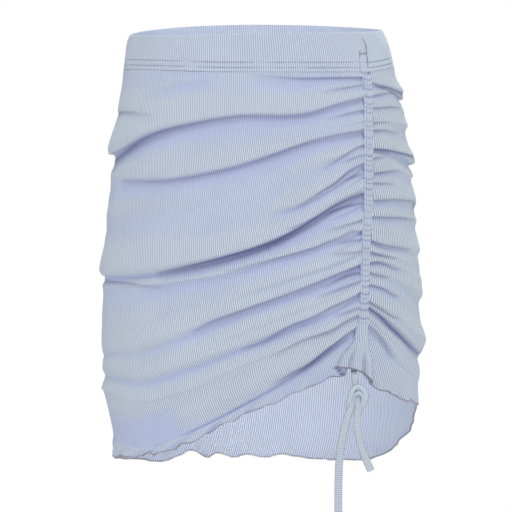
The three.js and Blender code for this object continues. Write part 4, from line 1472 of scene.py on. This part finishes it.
for made in (front, side_front, back):
    made.data.materials.append(inside_knit)
print("seven materials from one recipe")

# %% [markdown]
# # Stitches
# A row of machine stitching is one small thread bead after another along a line. Placing them
# by hand would be dull, so Geometry Nodes do it: the line is cut at an even spacing, and at
# each cut stands a copy of one stitch, turned along the line and lifted off the cloth. Real
# copies replace the shared ones at the end, because an exported model can't hold shared ones.

# %% Stitches
# The stitches are much darker than the cloth: partly the thread's own colour, partly painted shade of
# the dips the stitching pulls in.
THREAD_AND_SHADE_COLOUR = (0.22, 0.23, 0.35, 1)
THREAD_DARKER = 0.7


def thread_material(name, colour):
    """Matte sewing thread with a slight twist in its colour."""
    material, tree, shader = new_material(name)
    fill(shader, {"Roughness": 0.8})
    place = add_node(tree, "ShaderNodeTexCoord")
    twist = add_node(tree, "ShaderNodeTexNoise", inputs={"Scale": 700.0, "Detail": 1.0})
    tree.links.new(place.outputs["Object"], twist.inputs["Vector"])
    darker = tuple(c * THREAD_DARKER for c in colour[:3]) + (1,)
    tree.links.new(mix_colour(tree, twist.outputs[0], darker, colour), shader.inputs["Base Color"])
    ply = add_node(tree, "ShaderNodeBump", inputs={"Strength": 0.3, "Distance": 0.0002})
    tree.links.new(twist.outputs[0], ply.inputs["Height"])
    tree.links.new(ply.outputs[0], shader.inputs["Normal"])
    return material


RANDOM_MIN, RANDOM_MAX = 2, 3  # the Random Value node's sockets for plain numbers
STITCH_SIZES = {"Spacing": 0.0028, "Length": 0.0023, "Thickness": 0.0006, "Lift": 0.0001}


def stitch_tree():
    """The Geometry Nodes tree that sews a line: spacing, length, thickness and lift are named."""
    tree = bpy.data.node_groups.new("sew a line", "GeometryNodeTree")
    face = tree.interface
    face.new_socket("Line", in_out="INPUT", socket_type="NodeSocketGeometry")
    for name, value in STITCH_SIZES.items():
        socket = face.new_socket(name, in_out="INPUT", socket_type="NodeSocketFloat")
        socket.default_value = value
    face.new_socket("Seed", in_out="INPUT", socket_type="NodeSocketInt").default_value = 4
    face.new_socket("Thread", in_out="INPUT", socket_type="NodeSocketMaterial")
    face.new_socket("Stitches", in_out="OUTPUT", socket_type="NodeSocketGeometry")
    link = tree.links.new
    enter, leave = add_node(tree, "NodeGroupInput"), add_node(tree, "NodeGroupOutput")
    curve = add_node(tree, "GeometryNodeMeshToCurve")
    cut = add_node(tree, "GeometryNodeResampleCurve", mode="LENGTH")
    link(enter.outputs["Line"], curve.inputs[0])
    link(curve.outputs[0], cut.inputs["Curve"])
    link(enter.outputs["Spacing"], cut.inputs["Length"])
    bead = add_node(tree, "GeometryNodeMeshUVSphere", inputs={"Segments": 6, "Rings": 5, "Radius": 0.5})
    size = add_node(tree, "ShaderNodeCombineXYZ")
    link(enter.outputs["Length"], size.inputs["X"])
    link(enter.outputs["Thickness"], size.inputs["Y"])
    link(enter.outputs["Thickness"], size.inputs["Z"])
    shaped = add_node(tree, "GeometryNodeTransform")
    link(bead.outputs["Mesh"], shaped.inputs["Geometry"])
    link(size.outputs[0], shaped.inputs["Scale"])
    out = add_node(tree, "GeometryNodeInputNamedAttribute", data_type="FLOAT_VECTOR")
    fill(out, {"Name": "out"})
    tangent = add_node(tree, "GeometryNodeInputTangent")
    lifted = add_node(tree, "ShaderNodeVectorMath", operation="SCALE")
    link(out.outputs[0], lifted.inputs[0])
    link(enter.outputs["Lift"], lifted.inputs["Scale"])
    moved = add_node(tree, "GeometryNodeSetPosition")
    link(cut.outputs[0], moved.inputs["Geometry"])
    link(lifted.outputs[0], moved.inputs["Offset"])
    up = add_node(tree, "FunctionNodeAlignRotationToVector", axis="Z")
    link(out.outputs[0], up.inputs["Vector"])
    turned = add_node(tree, "FunctionNodeAlignRotationToVector", axis="X", pivot_axis="Z")
    link(up.outputs[0], turned.inputs["Rotation"])
    link(tangent.outputs[0], turned.inputs["Vector"])
    uneven = add_node(tree, "FunctionNodeRandomValue", data_type="FLOAT")
    fill(uneven, {RANDOM_MIN: 0.85, RANDOM_MAX: 1.15})
    link(enter.outputs["Seed"], uneven.inputs["Seed"])
    copies = add_node(tree, "GeometryNodeInstanceOnPoints")
    link(moved.outputs[0], copies.inputs["Points"])
    link(shaped.outputs[0], copies.inputs["Instance"])
    link(turned.outputs[0], copies.inputs["Rotation"])
    link(uneven.outputs[1], copies.inputs["Scale"])
    real = add_node(tree, "GeometryNodeRealizeInstances")
    coloured = add_node(tree, "GeometryNodeSetMaterial")
    link(copies.outputs[0], real.inputs[0])
    link(real.outputs[0], coloured.inputs["Geometry"])
    link(enter.outputs["Thread"], coloured.inputs["Material"])
    link(coloured.outputs[0], leave.inputs[0])
    return tree


def line_object(name, lines):
    """A mesh of edges along lines of points in millimetres, each with its outward directions."""
    points, outs, edges = [], [], []
    for line, out in lines:
        first = len(points)
        points.extend((line * MM).tolist())
        outs.extend(out.tolist())
        edges.extend((first + k, first + k + 1) for k in range(len(line) - 1))
    mesh = bpy.data.meshes.new(name)
    mesh.from_pydata(points, edges, [])
    layer = mesh.attributes.new("out", "FLOAT_VECTOR", "POINT")
    layer.data.foreach_set("vector", np.asarray(outs, np.float32).ravel())
    return add_object(name, mesh)


def grow(name, lines, tree, values):
    """Runs a Geometry Nodes tree over lines and keeps the result as a plain mesh object."""
    source = line_object(f"{name} lines", lines)
    modifier = source.modifiers.new("grow", "NODES")
    modifier.node_group = tree
    sockets = {s.name: s.identifier for s in tree.interface.items_tree if s.in_out == "INPUT"}
    for key, value in values.items():
        modifier[sockets[key]] = value
    shown = source.evaluated_get(bpy.context.evaluated_depsgraph_get())
    mesh = bpy.data.meshes.new_from_object(shown)
    mesh.name = name
    mesh.shade_smooth()
    made = add_object(name, mesh)
    bpy.data.objects.remove(source)
    print(name, "has", triangles(made), "triangles")
    return made


def normals_of(points, closed_round=False):
    """Outward directions at the points of a cloth grid."""
    down = np.gradient(points, axis=0)
    if closed_round:
        beside = (np.roll(points, -1, axis=1) - np.roll(points, 1, axis=1)) / 2
    else:
        beside = np.gradient(points, axis=1)
    return unit(np.cross(beside, down))


thread = thread_material("thread", THREAD_AND_SHADE_COLOUR)
SEW = stitch_tree()
BAND_LINE_POINTS, TACK_STEPS = 480, 8
STITCH_LIFT, TACK_LIFT = 0.15, 0.2  # how far the thread lies off the cloth
STITCHED_SHARE = 0.8  # the channel's stitching ends above its foot


def band_line(above):
    """A line round the outside of the band at a height above its foot."""
    angle = np.linspace(0, 2 * math.pi, BAND_LINE_POINTS)
    foot = band_foot(angle)
    point, out = body_at(angle, foot + above)[:2]
    return point + out * (-GROOVE + STITCH_LIFT), out


def tack_line(*places):
    """A line on the outside of the band through places of the picture."""
    across, drop = np.array(places, float).T
    step = np.linspace(0, len(places) - 1, TACK_STEPS * len(places))
    across = smooth(np.arange(len(places)), across, step)
    drop = smooth(np.arange(len(places)), drop, step)
    angle = angle_seen(across, drop)
    point, out = body_at(angle, true_height(drop, angle))[:2]
    return point + out * TACK_LIFT, out


BAND_THREAD = {"Spacing": 0.0027, "Length": 0.0022, "Thickness": 0.00045, "Lift": 0.0, "Seed": 4}
band_stitches = grow(
    "band_stitches",
    [band_line(above) for above in STITCH_ROWS],
    SEW,
    dict(BAND_THREAD, Thread=thread),
)
TACKS = [
    tack_line((103.8, 21.5), (103.6, 32), (104.2, 42)),
    tack_line((110.2, 21.5), (111.2, 29), (112.0, 37)),
    tack_line((103.8, 24.2), (110.4, 23.2)),
    tack_line((106.4, 9), (109.6, 15), (110.2, 21.5)),
]
TACK_THREAD = {"Spacing": 0.0015, "Length": 0.0015, "Thickness": 0.0008, "Lift": 0.0, "Seed": 5}
tack = grow("tack", TACKS, SEW, dict(TACK_THREAD, Thread=thread))


def channel_line(place):
    """A line down the channel's face, place of the way from its left edge to its right."""
    columns = CHANNEL_GRID[1]
    turn = math.acos(np.clip(2 * place - 1, -1, 1))
    index = columns - 1 - int(round(turn / (2 * math.pi) * columns))
    rows = slice(0, int(CHANNEL_GRID[0] * STITCHED_SHARE))
    out = normals_of(channel_points, closed_round=True)
    return channel_points[rows, index], out[rows, index]


channel_stitches = grow(
    "channel_stitches",
    [channel_line(0.05), channel_line(0.95)],
    SEW,
    dict(BAND_THREAD, Spacing=0.0025, Length=0.0015, Thickness=0.0007, Lift=0.0001, Thread=thread),
)

# %% [markdown]
# # The hems
# The hems are overlocked: thread loops wrap the raw edge closely and roll it. Each loop is a
# small ring round the edge. A striped band would do from afar, but the hem is seen against
# white, where its loops show. The same way of cutting a line and standing copies on it serves,
# with a ring for the copy, and the lines are the lowest rows of the panels' own points.

# %% The hems
HEM_COLOUR = (0.44, 0.39, 0.48, 1)


def ring_tree():
    """The tree that wraps an edge: one flattened ring of thread at each cut of the line."""
    tree = SEW.copy()
    tree.name = "wrap an edge"
    shaped = next(n for n in tree.nodes if n.bl_idname == "GeometryNodeTransform")
    bead = next(n for n in tree.nodes if n.bl_idname == "GeometryNodeMeshUVSphere")
    tree.nodes.remove(bead)
    circle = "GeometryNodeCurvePrimitiveCircle"
    ring = add_node(tree, circle, {"Resolution": 8, "Radius": 0.5})
    yarn = add_node(tree, circle, {"Resolution": 5, "Radius": 0.17})
    swept = add_node(tree, "GeometryNodeCurveToMesh")
    tree.links.new(ring.outputs[0], swept.inputs["Curve"])
    tree.links.new(yarn.outputs[0], swept.inputs["Profile Curve"])
    upright = add_node(tree, "GeometryNodeTransform", {"Rotation": (0, math.pi / 2, 0)})
    tree.links.new(swept.outputs[0], upright.inputs["Geometry"])
    tree.links.new(upright.outputs[0], shaped.inputs["Geometry"])
    return tree


WRAP = ring_tree()
hem_thread = thread_material("hem thread", HEM_COLOUR)


def hem_line(points):
    """The middle of the cloth's thickness along its lowest row."""
    normal = normals_of(points)[-1]
    return points[-1] - normal * CLOTH / 2, normal


HEM_VALUES = {"Spacing": 0.0009, "Length": 0.0013, "Thickness": 0.0015, "Lift": 0.0, "Seed": 7}
foot_face = slice(CHANNEL_GRID[1] // 2, None)
foot_out = normals_of(channel_points, closed_round=True)[-1, foot_face]
foot_line = (channel_points[-1, foot_face] - foot_out * CHANNEL_WALL / 2, foot_out)
hems = grow(
    "hem_overlock",
    [hem_line(grid) for grid in (front_points, side_points, back_points)] + [foot_line],
    WRAP,
    dict(HEM_VALUES, Thread=hem_thread),
)

# %% [markdown]
# # The light and the floor
# The skirt is shown on white: a plain pale floor well below it, a bright even surround, one big
# soft light above the front that draws the folds, one beside the camera, one at each side and
# one high behind. Shops light the inside of such a skirt by itself, so that the back isn't
# lost in shadow below the front hem, and a small lamp inside does that here. It faces the back
# panel and the camera doesn't see it.

# %% The light and the floor
FLOOR_HEIGHT = -0.75
FLOOR_REACH = 2.4


def add_floor():
    """A round pale floor below the skirt."""
    bpy.ops.mesh.primitive_circle_add(
        vertices=96, radius=FLOOR_REACH, fill_type="NGON", location=(0, 0, FLOOR_HEIGHT)
    )
    floor = bpy.context.object
    floor.name = "floor"
    material, _, shader = new_material("floor")
    fill(shader, {"Base Color": (0.9, 0.9, 0.9, 1), "Roughness": 0.9})
    floor.data.materials.append(material)
    return floor


def add_light(name, place, size, power, colour, target=(0.0, 0.0, -EYE_DROP * MM)):
    """A soft square light that looks at the middle of the skirt, or at another target."""
    data = bpy.data.lights.new(name, "AREA")
    data.size = size
    data.energy = power
    data.color = colour
    light = add_object(name, data)
    light.location = place
    look = Vector(target) - Vector(place)
    light.rotation_euler = look.to_track_quat("-Z", "Y").to_euler()
    return light


def surround(strength, colour):
    """White to the camera, and an even light of a given strength and colour to the cloth."""
    world = bpy.data.worlds.new("surround")
    bpy.context.scene.world = world
    world.use_nodes = True
    tree = world.node_tree
    glow = tree.nodes["Background"]
    ray = add_node(tree, "ShaderNodeLightPath")
    shown = mix_colour(tree, 0.0, colour + (1,), (1.0, 1.0, 1.0, 1))
    tree.links.new(ray.outputs["Is Camera Ray"], shown.node.inputs[MIX_SHARE])
    tree.links.new(shown, glow.inputs["Color"])
    bright = add_node(tree, "ShaderNodeMapRange", {"To Min": strength, "To Max": 1.0})
    tree.links.new(ray.outputs["Is Camera Ray"], bright.inputs["Value"])
    tree.links.new(bright.outputs[0], glow.inputs["Strength"])


floor = add_floor()
add_light("key", (0.0, -1.4, 2.0), 1.2, 26, (0.97, 1.0, 0.90))
add_light("front", (0.1, -3.2, -0.3), 2.0, 32, (0.91, 0.94, 1.0))
add_light("left", (-2.4, 0.1, 0.2), 1.2, 8, (0.94, 1.0, 0.78))
add_light("right", (2.4, 0.8, 0.2), 1.2, 19, (0.94, 1.0, 0.80))
INSIDE_PLACE, INSIDE_TARGET = (-0.01, -0.05, -0.22), (0.02, 1.0, -0.22)
INSIDE_WIDTH, INSIDE_HEIGHT = 0.16, 0.36
inside = add_light("inside", INSIDE_PLACE, INSIDE_WIDTH, 0.36, (1.0, 0.97, 0.97), INSIDE_TARGET)
inside.data.shape = "RECTANGLE"
inside.data.size_y = INSIDE_HEIGHT
inside.visible_camera = False
add_light("behind", (0.2, 1.6, 2.0), 1.2, 40, (1.0, 1.0, 0.97))
surround(0.43, (0.90, 0.92, 1.0))
bpy.context.scene.view_settings.view_transform = "Standard"
print("six lights")

# %% [markdown]
# The plain model's parts hidden
# Last every new piece hangs from the root, and the parts of the plain model that the pieces
# stand in for are hidden.

# %% The plain model's parts hidden
seams = (band_stitches, tack, channel_stitches, hems)
for made in (front, side_front, back, band, channel, string, short_end, knot) + seams:
    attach(made, "root")
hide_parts("front_panel")
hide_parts("side_front_panel")
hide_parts("back_panel")
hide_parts("waistband")
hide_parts("channel")
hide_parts("drawstring_strand", "drawstring_long_end")
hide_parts("drawstring_short_end")
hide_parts("drawstring_knot")
